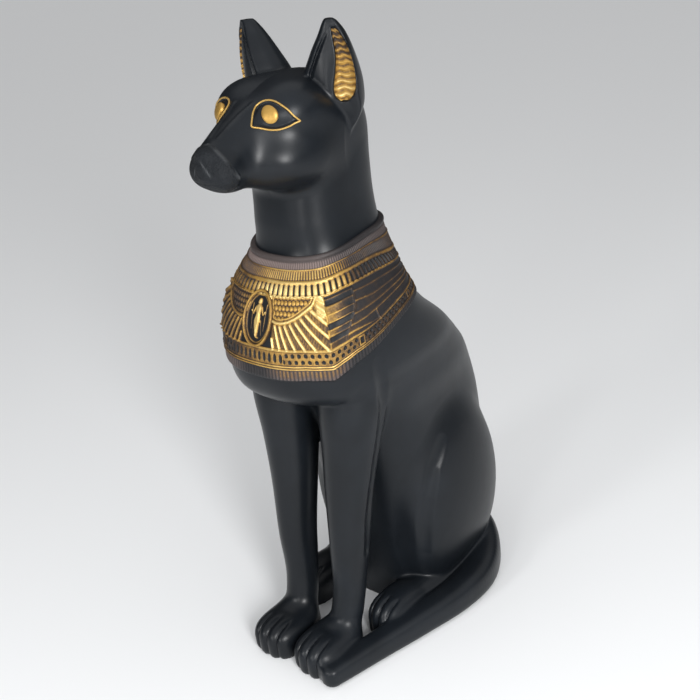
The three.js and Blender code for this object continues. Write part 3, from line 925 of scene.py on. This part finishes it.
# Places down the collar go from 0 at its rim to 1 at its hem. Places round it are degrees from the breast.
COLLAR_AXIS = -8.0
COLLAR_TURN = 0.283  # units round the breast for each degree
COLLAR_FALL = 16.3  # units down the breast from the rim to the hem
GROUND = 0.42  # units that the ground of the relief stands off the breast
LINE_RISE = 0.27  # about what a line rises off the ground, before it is scaled to the wanted relief
LINE_HALF = 0.17
WINGS_TOP = 0.303
WINGS_FOOT = 0.715
BEADS_TOP = 0.728
BEADS_MIDDLE = 0.785
BEADS_FOOT = 0.842
FRINGE_TOP = 0.885
# Repeats round the collar. In the border every so many beads one is a framed square.
BARS = 90
RIBS = 180
BEADS = 108
SQUARE_EVERY = 13
SQUARE_FIRST = 5
# The edge of the scaled coverts, and the fan of quills below them, on the collar laid flat in units.
COVERT_EDGE = np.array(
    [
        (2.26, 5.0), (2.43, 6.0), (2.7, 7.2), (3.1, 7.9), (3.9, 8.1), (4.9, 8.08),
        (5.95, 7.9), (7.1, 7.5), (8.15, 7.0), (9.1, 6.45), (9.95, 5.95), (10.7, 5.0),
    ]
)
SCALE_WIDTH = 0.72
SCALE_HEIGHT = 0.66
FAN_CENTRE = (0.9, -0.4)
FAN_FIRST = 17.4
FAN_PITCH = 5.0
FAN_END = 42.5
# The short feathers behind the fan, as edges down the collar, and which of them are gilded, from the top.
SHORT_EDGES = [0.335, 0.385, 0.445, 0.5, 0.555, 0.605, 0.655]
GILDED_SHORTS = (2, 3, 5, 7)
# The long plates behind them, as edges that go from one place down the collar to another.
PLATE_EDGES = [(0.36, 0.37), (0.43, 0.455), (0.52, 0.52), (0.6, 0.585), (0.66, 0.7)]


def collar_top(y):
    return mix(68.2, 69.6, ease((y + 19) / 14))


def collar_hem(y):
    return mix(51.9, 58, ease((y + 23) / 22))


def collar_ground(degrees, down):
    """Points on the bare breast by angle and place down the collar, whose rows crowd at the nape."""
    turn = np.radians(degrees)
    corner = 0.75 * np.clip(1 - np.abs(np.abs(degrees) - FAN_END) / 13, 0, 1)
    sweep = 0.2 * ease((np.abs(degrees) - 40) / 95)
    fall = down + 0 * degrees
    for _ in range(40):
        inner = np.clip(fall, 0, 1)
        fall = down + sweep * 16 * (inner * (1 - inner)) ** 2
    radius = np.full(fall.shape, 14.0)
    for _ in range(12):
        x = radius * np.sin(turn)
        y = COLLAR_AXIS - radius * np.cos(turn)
        z = mix(collar_top(y), collar_hem(y) - corner, fall)
        radius = radius - np.clip(breast(x, y, z), -2, 2) * 0.9
    return np.stack([x, y, z], -1).reshape(-1, 3)


def line_at(down, place, half=LINE_HALF):
    return dome((down - place) * COLLAR_FALL, half)


def repeat(degrees, count, start=0.0):
    """Place within a repeat, from -0.5 to 0.5, for a count of repeats round the collar."""
    return (degrees * count / 360 + start + 0.5) % 1 - 0.5


def band(down, start, end):
    """1 inside a register and 0 outside it, with soft edges."""
    soft = 0.004
    return ease((down - start) / soft + 0.5) * ease((end - down) / soft + 0.5)


def polyline_distance(s, t, points):
    """Distance to a line of points, in the plane of the collar laid flat."""
    best = np.full(s.shape, 99.0)
    for (s0, t0), (s1, t1) in zip(points, points[1:]):
        ds, dt = s1 - s0, t1 - t0
        k = np.clip(((s - s0) * ds + (t - t0) * dt) / (ds * ds + dt * dt), 0, 1)
        best = np.minimum(best, np.hypot(s - s0 - k * ds, t - t0 - k * dt))
    return best


def inside_outline(s, t, points):
    """Whether a place is inside a closed outline."""
    inside = np.zeros(s.shape, bool)
    for (s0, t0), (s1, t1) in zip(points, np.roll(points, -1, axis=0)):
        if t0 == t1:
            continue
        spans = (t0 > t) != (t1 > t)
        inside ^= spans & (s < s0 + (t - t0) / (t1 - t0) * (s1 - s0))
    return inside


def rows_pattern(degrees, down):
    """Rim, ribs, fine strokes and bars, from the neck down."""
    angle = np.abs(degrees)
    height = GROUND + 0 * degrees + 0 * down
    rim = dome(down - 0.024, 0.032)
    height = np.where(down < 0.056, 0.3 + 0.5 * rim, height)
    strokes = band(down, 0.126, 0.186)
    rib = dome(repeat(degrees, RIBS), 0.38) * band(down, 0.062, 0.11)
    stroke = dome(repeat(degrees, RIBS, 0.5), 0.36) * strokes
    block = np.sqrt(dome(repeat(degrees, BARS, 0.5), 0.35) * dome(down - 0.259, 0.042))
    lines = line_at(down, 0.118, 0.11) + line_at(down, 0.204, 0.24) + line_at(down, WINGS_TOP)
    height = height + 0.12 * rib + 0.2 * stroke + 0.3 * lines
    height = height + band(down, 0.218, 0.298) * (0.36 * block - 0.12)
    dull = mix(0.5, 1, ease((74 - angle) / 20))
    gold = np.clip(lines + (block + 0.7 * stroke) * dull + 0.14 * strokes, 0, 1)
    bright = np.clip((block + 0.55 * stroke) * dull + 0.6 * lines, 0, 1)
    # Painted shade: the blush fades round the back, past 36 degrees on the cat's left and past 60 on its
    # right.
    tone_shift = mix(0.3, 1, ease((66 - degrees) / 30) * ease((degrees + 120) / 60))
    blush = band(down, 0.06, 0.112) * (0.35 + 0.9 * rib) + 0.4 * band(down, 0.12, 0.19) + 0.3 * (down < 0.056)
    return height, gold, bright, blush * tone_shift


def wing_pattern(degrees, down):
    """A winged breast: scaled coverts over a fan of quills, then short feathers, then long plates."""
    angle = np.abs(degrees) + 0 * down
    level = down + 0 * angle
    s = angle * COLLAR_TURN
    t = level * COLLAR_FALL
    covert = inside_outline(s, t, COVERT_EDGE)
    edge = polyline_distance(s, t, COVERT_EDGE)
    outline = dome(edge, 0.2) + 0.6 * dome(edge - 0.44, 0.11) * covert
    fan = ease((FAN_END + 0.4 - angle) / 0.8) * ~covert * ease((s - 2.9) / 0.3)
    spread = np.degrees(np.arctan2(s - FAN_CENTRE[0], t - FAN_CENTRE[1]))
    index = (spread - FAN_FIRST) / FAN_PITCH
    nearest = np.round(index)
    away = np.hypot(s - FAN_CENTRE[0], t - FAN_CENTRE[1])
    off = np.abs(index - nearest) * math.radians(FAN_PITCH) * away
    first = (nearest > -0.5) | ((nearest > -1.5) & (level > 0.62))
    quill = dome(off, 0.2 + 0.01 * nearest) * fan * first * ease((edge - 0.15) / 0.3)
    feather = dome(off / (math.radians(FAN_PITCH) * away), 0.5)
    smooth = fan * ease((angle - 37) / 1.5) * ease((0.47 - level) / 0.03) * ease(edge / 0.4)
    barb = (0.5 + 0.5 * np.cos(2 * math.pi * (index * 4 + 3 * t))) * fan * (1 - smooth)

    short_end = 60 - 40 * np.clip(level - 0.47, 0, 0.2) + 12 * np.clip(0.47 - level, 0, 0.2)
    short = ease((angle - FAN_END + 0.4) / 0.8) * ease((short_end - angle) / 0.8)
    gilded = np.isin(np.searchsorted(SHORT_EDGES, level), GILDED_SHORTS)
    golden = short * gilded * mix(0.35, 1, ease((short_end - 2 - angle) / 12))
    short_line = sum(line_at(level, at, 0.1) for at in SHORT_EDGES) * short
    tips = dome(angle - short_end, 0.9) + 0.8 * dome(angle - FAN_END - 0.4, 0.5)
    tips = tips * (level > 0.33)
    plate = ease((angle - short_end) / 0.8)
    reach = ease((angle - 58) / 20)
    plate_line = sum(line_at(level, mix(a, b, reach), 0.13) for a, b in PLATE_EDGES) * plate
    rubbed = sum(dome(level - mix(a, b, reach) - 0.03, 0.05) for a, b in PLATE_EDGES) * plate
    seam = dome(angle - 73 - 12 * (level - 0.6), 0.5) * (level > 0.59) * (level < 0.72)
    plate_line = plate_line + seam * plate

    row = np.floor(t / SCALE_HEIGHT)
    scale_s = (s / SCALE_WIDTH + 0.5 * (row % 2)) % 1 - 0.5
    scale_t = (t / SCALE_HEIGHT) % 1 - 0.5
    scale = dome(np.hypot(scale_s, scale_t), 0.48) * covert * ease((edge - 0.5) / 0.15)
    lines = line_at(level, WINGS_FOOT) + line_at(level, WINGS_TOP)
    height = GROUND + 0.34 * quill + 0.3 * smooth * feather + 0.05 * barb
    height = height + 0.34 * outline + 0.2 * scale + 0.28 * lines
    height = height + 0.14 * golden + 0.12 * short_line + 0.12 * tips + 0.18 * plate_line + 0.06 * plate
    gold = quill + outline + lines + 0.6 * scale + 0.26 * covert
    gold = gold + 0.3 * fan + 0.7 * smooth * feather + 0.12 * barb
    gold = gold + 0.42 * golden + 0.4 * short_line + 0.25 * tips
    gold = gold + 0.52 * plate_line + 0.26 * rubbed + 0.06 * short
    # The smooth feathers' pale gold is gilding, and partly a painted highlight.
    bright = 0.9 * quill + 0.75 * outline + 0.5 * lines + 0.9 * smooth + 0.3 * scale + 0.1 * short_line
    return height, np.clip(gold, 0, 1), np.clip(bright, 0, 1), 0.25 * scale + 0.06 * plate


def border_pattern(degrees, down):
    """Dark drops and beads in gold, framed squares, a double line and the fringe, down to the hem."""
    angle = np.abs(degrees)
    pitch = 360 / BEADS * COLLAR_TURN
    u = np.abs(repeat(degrees, BEADS) * pitch)
    v = np.abs(down - BEADS_MIDDLE) * COLLAR_FALL
    beads = band(down, BEADS_TOP, BEADS_FOOT)
    front = ease((19 - angle) / 1.5)
    behind = 1 - front
    drop = dome(np.hypot(u / 0.27, v / 0.66), 1) * front
    rows = 0
    for centre, start in ((0.757, 0.0), (0.812, 0.5)):
        across = repeat(degrees, BEADS, start) * pitch
        rows = rows + dome(np.hypot(across / 0.27, (down - centre) * COLLAR_FALL / 0.3), 1)
    number = np.floor(degrees * BEADS / 360 + 0.5)
    squared = number % SQUARE_EVERY == SQUARE_FIRST
    square = ease((0.36 - np.maximum(u, v * 0.6)) / 0.08) * squared * behind
    frame_line = dome(np.maximum(u * 1.1, v * 0.62) - 0.42, 0.12) * squared * behind * beads
    dark = np.clip(drop + rows * behind * (1 - squared) + square, 0, 1) * beads
    lines = line_at(down, WINGS_FOOT) + line_at(down, 0.853, 0.15) + line_at(down, 0.876, 0.13)
    thread = dome(repeat(degrees, RIBS), 0.36) * band(down, 0.89, 0.985)
    fade = ease((1 - down) / 0.03)
    height = GROUND * fade + 0.1 * (1 - fade) + 0.12 * beads - 0.26 * dark + 0.14 * frame_line
    height = height + 0.28 * lines + 0.1 * thread
    painted = ease((angle - 4) / 16) * ease((54 - angle) / 10)
    fray = mix(0.1, 0.55, painted) * ease((1 - down) / 0.07)
    fringe = fray * (0.15 + 0.6 * thread) * (down > FRINGE_TOP)
    gold = np.clip(beads * (0.5 - 0.8 * dark) + lines + fringe, 0, 1)
    gold = np.clip(gold + 0.4 * frame_line, 0, 1)
    bright = np.clip((0.2 - dark) * beads + 0.5 * lines, 0, 1)
    blush = (0.1 + 0.5 * thread) * band(down, FRINGE_TOP, 1.01) * fade * mix(0.15, 1, painted)
    return height, gold, bright, blush


def collar_sheet(name, pattern, start, end):
    """One band of the collar, laid on the breast, with its upper and lower edges turned in."""
    sizes = bpy.context.scene.cat_sizes
    lift = sizes.relief / UNIT / LINE_RISE
    columns = sizes.collar_columns
    rows = max(8, round(sizes.collar_rows * (end - start)))
    degrees = (np.arange(columns) * 360 / columns - 180)[None, :]
    down = np.linspace(start, end, rows)[:, None]
    ground = collar_ground(degrees, down)
    outward = facing(breast, ground)
    height, gold, bright, blush = pattern(degrees, down)
    # Painted light: the gold is fuller and brighter on the collar's front left, which faces the key light,
    # and duller round the far side.
    lit_side = ease((degrees + 24) / 34) * ease((72 - degrees) / 32)
    fold = 0.28 * ease(1 - np.abs(np.abs(degrees) - FAN_END) / 6) * ease((down - 0.3) / 0.2)
    rise = (GROUND + (height - GROUND) * lift + fold).reshape(-1, 1)
    points = (ground + outward * rise).reshape(rows, columns, 3)
    outward = outward.reshape(rows, columns, 3)
    points = np.concatenate([points[:1] - outward[:1], points, points[-1:] - outward[-1:]])
    shades = {"gold": gold * mix(0.44, 1, lit_side), "bright": bright * lit_side, "blush": blush}
    shades = {shade: np.concatenate([v[:1], v, v[-1:]]) for shade, v in shades.items()}
    quads = sheet_quads(rows + 2, columns, closed=True)
    new_piece(name, points.reshape(-1, 3), quads, RUBBED_GOLD, SLOT_GOLD, **shades)


# Eyes, ears and medallion


def both_sides(points, quads):
    """A sheet on the left side of the cat with its mirror image on the right."""
    mirrored = points * [-1, 1, 1]
    return np.concatenate([points, mirrored]), np.concatenate([quads, quads[:, ::-1] + len(points)])


def on_face(wide, height):
    """Points of the bare face that lie at a place across the ear's axes, and their outward directions."""
    out = np.full(wide.shape, 19.0)
    for _ in range(40):
        x, y = from_ear_axes(out, wide)
        out = out - np.clip(bust(x, y, height), -1, 1) * 0.8
    points = np.stack([x, y, height], -1).reshape(-1, 3)
    return points, facing(bust, points)


def eye_rim():
    """A gold line along the edge of the eye, as a closed tube."""
    share = (1 - np.cos(np.linspace(0, math.pi, 70))) / 2
    wide = mix(EYE_INNER, EYE_OUTER, share)
    lower, upper = eye_lids(wide)
    path_wide = np.concatenate([wide, wide[-2:0:-1]])
    path_height = np.concatenate([upper, lower[-2:0:-1]])
    points, outward = on_face(path_wide, path_height)
    along = np.roll(points, -1, axis=0) - np.roll(points, 1, axis=0)
    across = np.cross(along, outward)
    across /= np.linalg.norm(across, axis=1, keepdims=True)
    turns = np.linspace(0, 2 * math.pi, 13)[:-1]
    ring = [math.cos(turn) * across + (math.sin(turn) + 0.35) * outward for turn in turns]
    around = len(points)
    points = np.stack([points + EYE_LINE_RADIUS * way for way in ring])
    quads = sheet_quads(len(turns), around, closed=True)
    last = sheet_quads(2, around, closed=True)
    last = np.where(last < around, last + (len(turns) - 1) * around, last - around)
    return points.reshape(-1, 3), np.concatenate([quads, last])


def iris():
    """A gold disc that stands out of the eyeball, domed in front."""
    share = np.concatenate([np.linspace(0.02, 0.96, 14), [1.0, 1.0]])[:, None]
    turns = np.linspace(0, 2 * math.pi, 49)[None, :-1]
    wide = IRIS_WIDE + IRIS_RADII[0] * share * np.cos(turns)
    height = IRIS_HEIGHT + IRIS_RADII[1] * share * np.sin(turns)
    points, outward = on_face(wide, height)
    lift = 0.22 + 0.34 * np.sqrt(1 - 0.92 * share**2)
    lift[-1] = -0.3
    points = points + outward * (lift + 0 * turns).reshape(-1, 1)
    return points, sheet_quads(len(share), turns.shape[1], closed=True)


def ear_lining():
    """Gilded ribs across the ear's hollow."""
    height = np.linspace(HOLLOW_FOOT + 0.15, HOLLOW_TIP - 0.15, 150)[:, None]
    across = np.linspace(-0.97, 0.97, 34)[None, :]
    middle, half_width, depth = ear_hollow(height)
    wide = middle + across * half_width
    floor = depth * (1 - np.abs(across) ** 3) ** (1 / 3)
    wave = 0.13 * np.sin(across * 5 + height * 1.3) + 0.1 * across
    rib = 0.5 + 0.5 * np.cos(2 * math.pi * ((height - HOLLOW_FOOT) / 0.86 + wave))
    out = ear_front(wide, height) - floor + 0.06 + 0.2 * rib**1.5 * ease((1 - np.abs(across)) / 0.15)
    x, y = from_ear_axes(out, wide)
    points = np.stack([x, y, height + 0 * across], -1).reshape(-1, 3)
    # The gold and its bright tops fade towards the ear's tip.
    nearer_foot = ease((98 - height) / 8)
    gold = (0.42 + 0.58 * rib) * mix(0.5, 1, nearer_foot)
    bright = (0.1 + 0.6 * rib) * nearer_foot**2
    return points, sheet_quads(*rib.shape), gold, bright


MEDALLION_HEIGHT = 60.2
MEDALLION_HALF = (2.85, 3.8)
# A slender standing figure between staffs, as limbs in the plane: start, end, radii.
MEDALLION_FIGURE = [
    ((-0.05, 2.15), (-0.02, 2.4), 0.42, 0.34),
    ((-0.05, 1.35), (0, 0.7), 0.66, 0.42),
    ((0, 0.7), (-0.1, -0.3), 0.42, 0.62),
    ((-0.1, -0.3), (-0.02, -2.2), 0.6, 0.3),
    ((0, -2.4), (0.4, -2.5), 0.2, 0.14),
    ((-0.6, 1.5), (-1.02, 0.6), 0.2, 0.15),
    ((-1.02, 0.6), (-1.3, 1.0), 0.15, 0.12),
    ((0.5, 1.5), (0.9, 0.6), 0.2, 0.15),
    ((0.9, 0.6), (1.25, 1.0), 0.15, 0.12),
]
MEDALLION_STAFFS = [
    ((-1.38, 1.9), (-1.2, -1.5), 0.14, 0.1),
    ((1.34, 1.95), (1.22, -1.5), 0.16, 0.12),
    ((0.55, -0.2), (0.85, -2.1), 0.14, 0.1),
    ((-0.75, -0.4), (-0.8, -2.0), 0.1, 0.08),
]


def medallion():
    """An oval plaque on the breast, with a double rim and a figure in its sunken field."""
    share = np.linspace(0.01, 1.06, 84)[:, None]
    turns = np.linspace(0, 2 * math.pi, 181)[None, :-1]
    x = MEDALLION_HALF[0] * share * np.sin(turns)
    up = MEDALLION_HALF[1] * share * np.cos(turns)
    z = MEDALLION_HEIGHT + up
    y = np.full(x.shape, -24.0)
    for _ in range(40):
        y = y + np.clip(trunk(x, y, z), -1, 1) * 0.8
    points = np.stack([x, y, z], -1).reshape(-1, 3)

    def relief(limbs):
        away = np.minimum.reduce([limb((*a, 0), (*b, 0), r0, r1)(x, up, 0) for a, b, r0, r1 in limbs])
        return np.sqrt(np.clip(-away / 0.3, 0, 1))

    edge = oval(x, up, *MEDALLION_HALF)
    rim = dome(edge + 0.24, 0.26)
    bead = dome(edge + 0.66, 0.14)
    figure = relief(MEDALLION_FIGURE)
    staffs = relief(MEDALLION_STAFFS)
    height = 0.34 + 0.62 * rim + 0.26 * bead + 0.42 * figure + 0.2 * staffs
    height = np.where(edge > 0, -0.5, height)
    points = points + facing(trunk, points) * height.reshape(-1, 1)
    gold = np.clip(0.6 * rim + 0.5 * bead + figure + 0.75 * staffs, 0, 1)
    bright = np.clip(0.2 * rim + 0.6 * figure + 0.6 * staffs, 0, 1)
    quads = sheet_quads(len(share), turns.shape[1], closed=True)[:, ::-1]
    return points, quads, gold, bright


# Operators


class CAT_OT_body(Operator):
    """Trunk and legs under the collar, in black paint"""

    bl_idname = "cat_figure.body"
    bl_label = "Body"

    def execute(self, context):
        step = context.scene.cat_sizes.body_step
        points, quads, normals = skin(torso, *BODY_BOX, step)
        new_piece("body_and_legs", points, quads, SATIN_BLACK, SLOT_BLACK, normals, stipple=0, rub=0)
        return {"FINISHED"}


class CAT_OT_feet(Operator):
    """Paws, haunch feet and the tail on the ground, in black paint"""

    bl_idname = "cat_figure.feet"
    bl_label = "Feet and tail"

    def execute(self, context):
        step = context.scene.cat_sizes.feet_step
        points, quads, normals = skin(feet_form, *FEET_BOX, step)
        points[:, 2] = np.maximum(points[:, 2], 0)
        new_piece("feet_and_tail", points, quads, SATIN_BLACK, SLOT_BLACK, normals, stipple=0, rub=0)
        return {"FINISHED"}


class CAT_OT_head(Operator):
    """Neck, head and ears, in black paint with a stippled muzzle"""

    bl_idname = "cat_figure.head"
    bl_label = "Head and neck"

    def execute(self, context):
        step = context.scene.cat_sizes.head_step
        points, quads, normals = skin(head_form, *HEAD_BOX, step)
        x, y, z = points.T
        pad_back = np.interp(z, PAD_HEIGHTS, PAD_BACKS)
        stipple = ease((pad_back - y) / 0.3) * ease((87.4 - z) / 0.4)
        # Paler paint along the face's ridges: rubbed paint, and partly a painted highlight.
        rub = sum((ridge(np.abs(x), y, z) / depth) ** 2 for ridge, depth in RUBBED_AND_HIGHLIT_RIDGES)
        shades = {"stipple": stipple, "rub": rub}
        new_piece("head_and_neck", points, quads, SATIN_BLACK, SLOT_BLACK, normals, **shades)
        return {"FINISHED"}


class CAT_OT_collar(Operator):
    """The collar's bands of relief, in antique gold over black"""

    bl_idname = "cat_figure.collar"
    bl_label = "Collar"

    def execute(self, context):
        collar_sheet("collar_rows", rows_pattern, 0.0, WINGS_TOP)
        collar_sheet("collar_wings", wing_pattern, WINGS_TOP, WINGS_FOOT)
        collar_sheet("collar_border", border_pattern, WINGS_FOOT, 1.0)
        return {"FINISHED"}


class CAT_OT_medallion(Operator):
    """The oval medallion on the breast"""

    bl_idname = "cat_figure.medallion"
    bl_label = "Medallion"

    def execute(self, context):
        points, quads, gold, bright = medallion()
        shades = {"gold": gold, "bright": bright, "blush": 0}
        new_piece("breast_medallion", points, quads, RUBBED_GOLD, SLOT_GOLD, **shades)
        return {"FINISHED"}


class CAT_OT_eyes(Operator):
    """Gold lines round the eyes and gold irises"""

    bl_idname = "cat_figure.eyes"
    bl_label = "Eyes"

    def execute(self, context):
        for name, maker, bright in (("eye_rims", eye_rim, 0.4), ("irises", iris, 0.2)):
            points, quads = both_sides(*maker())
            new_piece(name, points, quads, RUBBED_GOLD, SLOT_GOLD, gold=1, bright=bright, blush=0)
        return {"FINISHED"}


class CAT_OT_ears(Operator):
    """Gilded ribs in the hollows of the ears"""

    bl_idname = "cat_figure.ears"
    bl_label = "Ear linings"

    def execute(self, context):
        points, quads, gold, bright = ear_lining()
        points, quads = both_sides(points, quads)
        shades = {"gold": np.tile(gold.ravel(), 2), "bright": np.tile(bright.ravel(), 2), "blush": 0}
        new_piece("ear_linings", points, quads, RUBBED_GOLD, SLOT_GOLD, **shades)
        return {"FINISHED"}


class CAT_OT_stage(Operator):
    """Pale floor, soft lights and the camera"""

    bl_idname = "cat_figure.stage"
    bl_label = "Stage"

    def execute(self, context):
        scene = context.scene
        lights = scene.cat_lights
        self.floor(scene)
        self.air(scene, lights.air)
        self.softbox(scene, "key_light", lights.key, (0.42, 0.75), azimuth=58, height=0.85)
        self.softbox(scene, "front_light", lights.front, (0.4, 0.45), azimuth=-8, height=0.8)
        self.softbox(scene, "window_light", lights.window, (0.22, 0.85), azimuth=16, height=0.6)
        self.sky(scene, lights.sky)
        self.camera(scene)
        scene.view_settings.view_transform = "Standard"
        return {"FINISHED"}

    def floor(self, scene, half=12.0):
        mesh = bpy.data.meshes.new("studio_floor")
        corners = [(-half, -half, 0), (half, -half, 0), (half, half, 0), (-half, half, 0)]
        mesh.from_pydata(corners, [], [(0, 1, 2, 3)])
        floor = bpy.data.objects.new("studio_floor", mesh)
        finish = Finish("studio_floor")
        pale = tuple(scene.cat_colours.floor)
        tinted = (pale[0] * 0.97, pale[1] * 0.97, pale[2] * 0.98, 1)
        base = finish.blend(finish.noise(2.0, 2.0) * 0.2, pale, tinted)
        mesh.materials.append(finish.done(Base_Color=base, Roughness=0.7))
        scene.collection.objects.link(floor)

    def air(self, scene, strength):
        world = bpy.data.worlds.new("studio_air")
        world.use_nodes = True
        background = world.node_tree.nodes["Background"]
        background.inputs["Color"].default_value = (0.97, 0.98, 1, 1)
        background.inputs["Strength"].default_value = strength
        scene.world = world

    def softbox(self, scene, name, power, size, azimuth, height, away=1.6):
        """A round-edged light that looks at the middle of the figure."""
        light = bpy.data.lights.new(name, "AREA")
        light.shape = "ELLIPSE"
        light.size, light.size_y = size
        light.energy = power
        lamp = bpy.data.objects.new(name, light)
        turn = math.radians(azimuth)
        place = Vector((math.sin(turn) * away, -math.cos(turn) * away, height))
        aim = Vector((0, 0, (FRAME_LOW.z + FRAME_HIGH.z) / 2))
        lamp.location = place
        lamp.rotation_euler = (aim - place).to_track_quat("-Z", "Y").to_euler()
        scene.collection.objects.link(lamp)

    def sky(self, scene, strength):
        """A very broad light from above, a little to the front left."""
        light = bpy.data.lights.new("sky_light", "SUN")
        light.energy = strength
        light.angle = math.radians(125)
        lamp = bpy.data.objects.new("sky_light", light)
        lamp.rotation_euler = (math.radians(18), 0, math.radians(65))
        scene.collection.objects.link(lamp)

    def camera(self, scene):
        """The picture's view: from the front left of the figure, a little above and tilted."""
        azimuth = math.radians(CAMERA_AZIMUTH)
        forward = -math.cos(azimuth) * CAMERA_AWAY
        place = np.array([math.sin(azimuth) * CAMERA_AWAY, forward, CAMERA_UP])
        turn = azimuth + math.radians(CAMERA_TURN)
        pitch, roll = math.radians(CAMERA_PITCH), math.radians(CAMERA_ROLL)
        look = Vector((-math.sin(turn) * math.cos(pitch), math.cos(turn) * math.cos(pitch), math.sin(pitch)))
        right = Vector((math.cos(turn), math.sin(turn), 0))
        up = right.cross(look)
        level = right * math.cos(roll) + up * math.sin(roll)
        upright = up * math.cos(roll) - right * math.sin(roll)
        lens = bpy.data.cameras.new("picture_camera")
        lens.lens = CAMERA_LENS
        lens.sensor_width = 36
        lens.clip_start = 0.05
        camera = bpy.data.objects.new("picture_camera", lens)
        axes = Matrix((level, upright, -look)).transposed()
        camera.matrix_world = Matrix.Translation(Vector(to_frame(place))) @ axes.to_4x4()
        scene.collection.objects.link(camera)
        scene.camera = camera


class CAT_PT_panel(Panel):
    """The steps in their order, then the settings"""

    bl_idname = "CAT_PT_panel"
    bl_label = "Cat figure"
    bl_space_type = "VIEW_3D"
    bl_region_type = "UI"
    bl_category = "Cat figure"

    def draw(self, context):
        for step in OPERATORS:
            self.layout.operator(step.bl_idname)
        for group in (context.scene.cat_sizes, context.scene.cat_colours, context.scene.cat_lights):
            for name in group.__annotations__:
                self.layout.prop(group, name)


GROUPS = {"cat_sizes": CatSizes, "cat_colours": CatColours, "cat_lights": CatLights}
OPERATORS = (
    CAT_OT_body,
    CAT_OT_feet,
    CAT_OT_head,
    CAT_OT_collar,
    CAT_OT_medallion,
    CAT_OT_eyes,
    CAT_OT_ears,
    CAT_OT_stage,
)


def register():
    for kind in (*GROUPS.values(), *OPERATORS, CAT_PT_panel):
        bpy.utils.register_class(kind)
    for name, group in GROUPS.items():
        setattr(bpy.types.Scene, name, PointerProperty(type=group))


def unregister():
    for name in GROUPS:
        delattr(bpy.types.Scene, name)
    for kind in (CAT_PT_panel, *reversed(OPERATORS), *reversed(GROUPS.values())):
        bpy.utils.unregister_class(kind)


def main():
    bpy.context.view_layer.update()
    register()
    bpy.ops.cat_figure.body()
    bpy.ops.cat_figure.feet()
    bpy.ops.cat_figure.head()
    bpy.ops.cat_figure.collar()
    bpy.ops.cat_figure.medallion()
    bpy.ops.cat_figure.eyes()
    bpy.ops.cat_figure.ears()
    bpy.ops.cat_figure.stage()


if __name__ == "__main__":
    main()
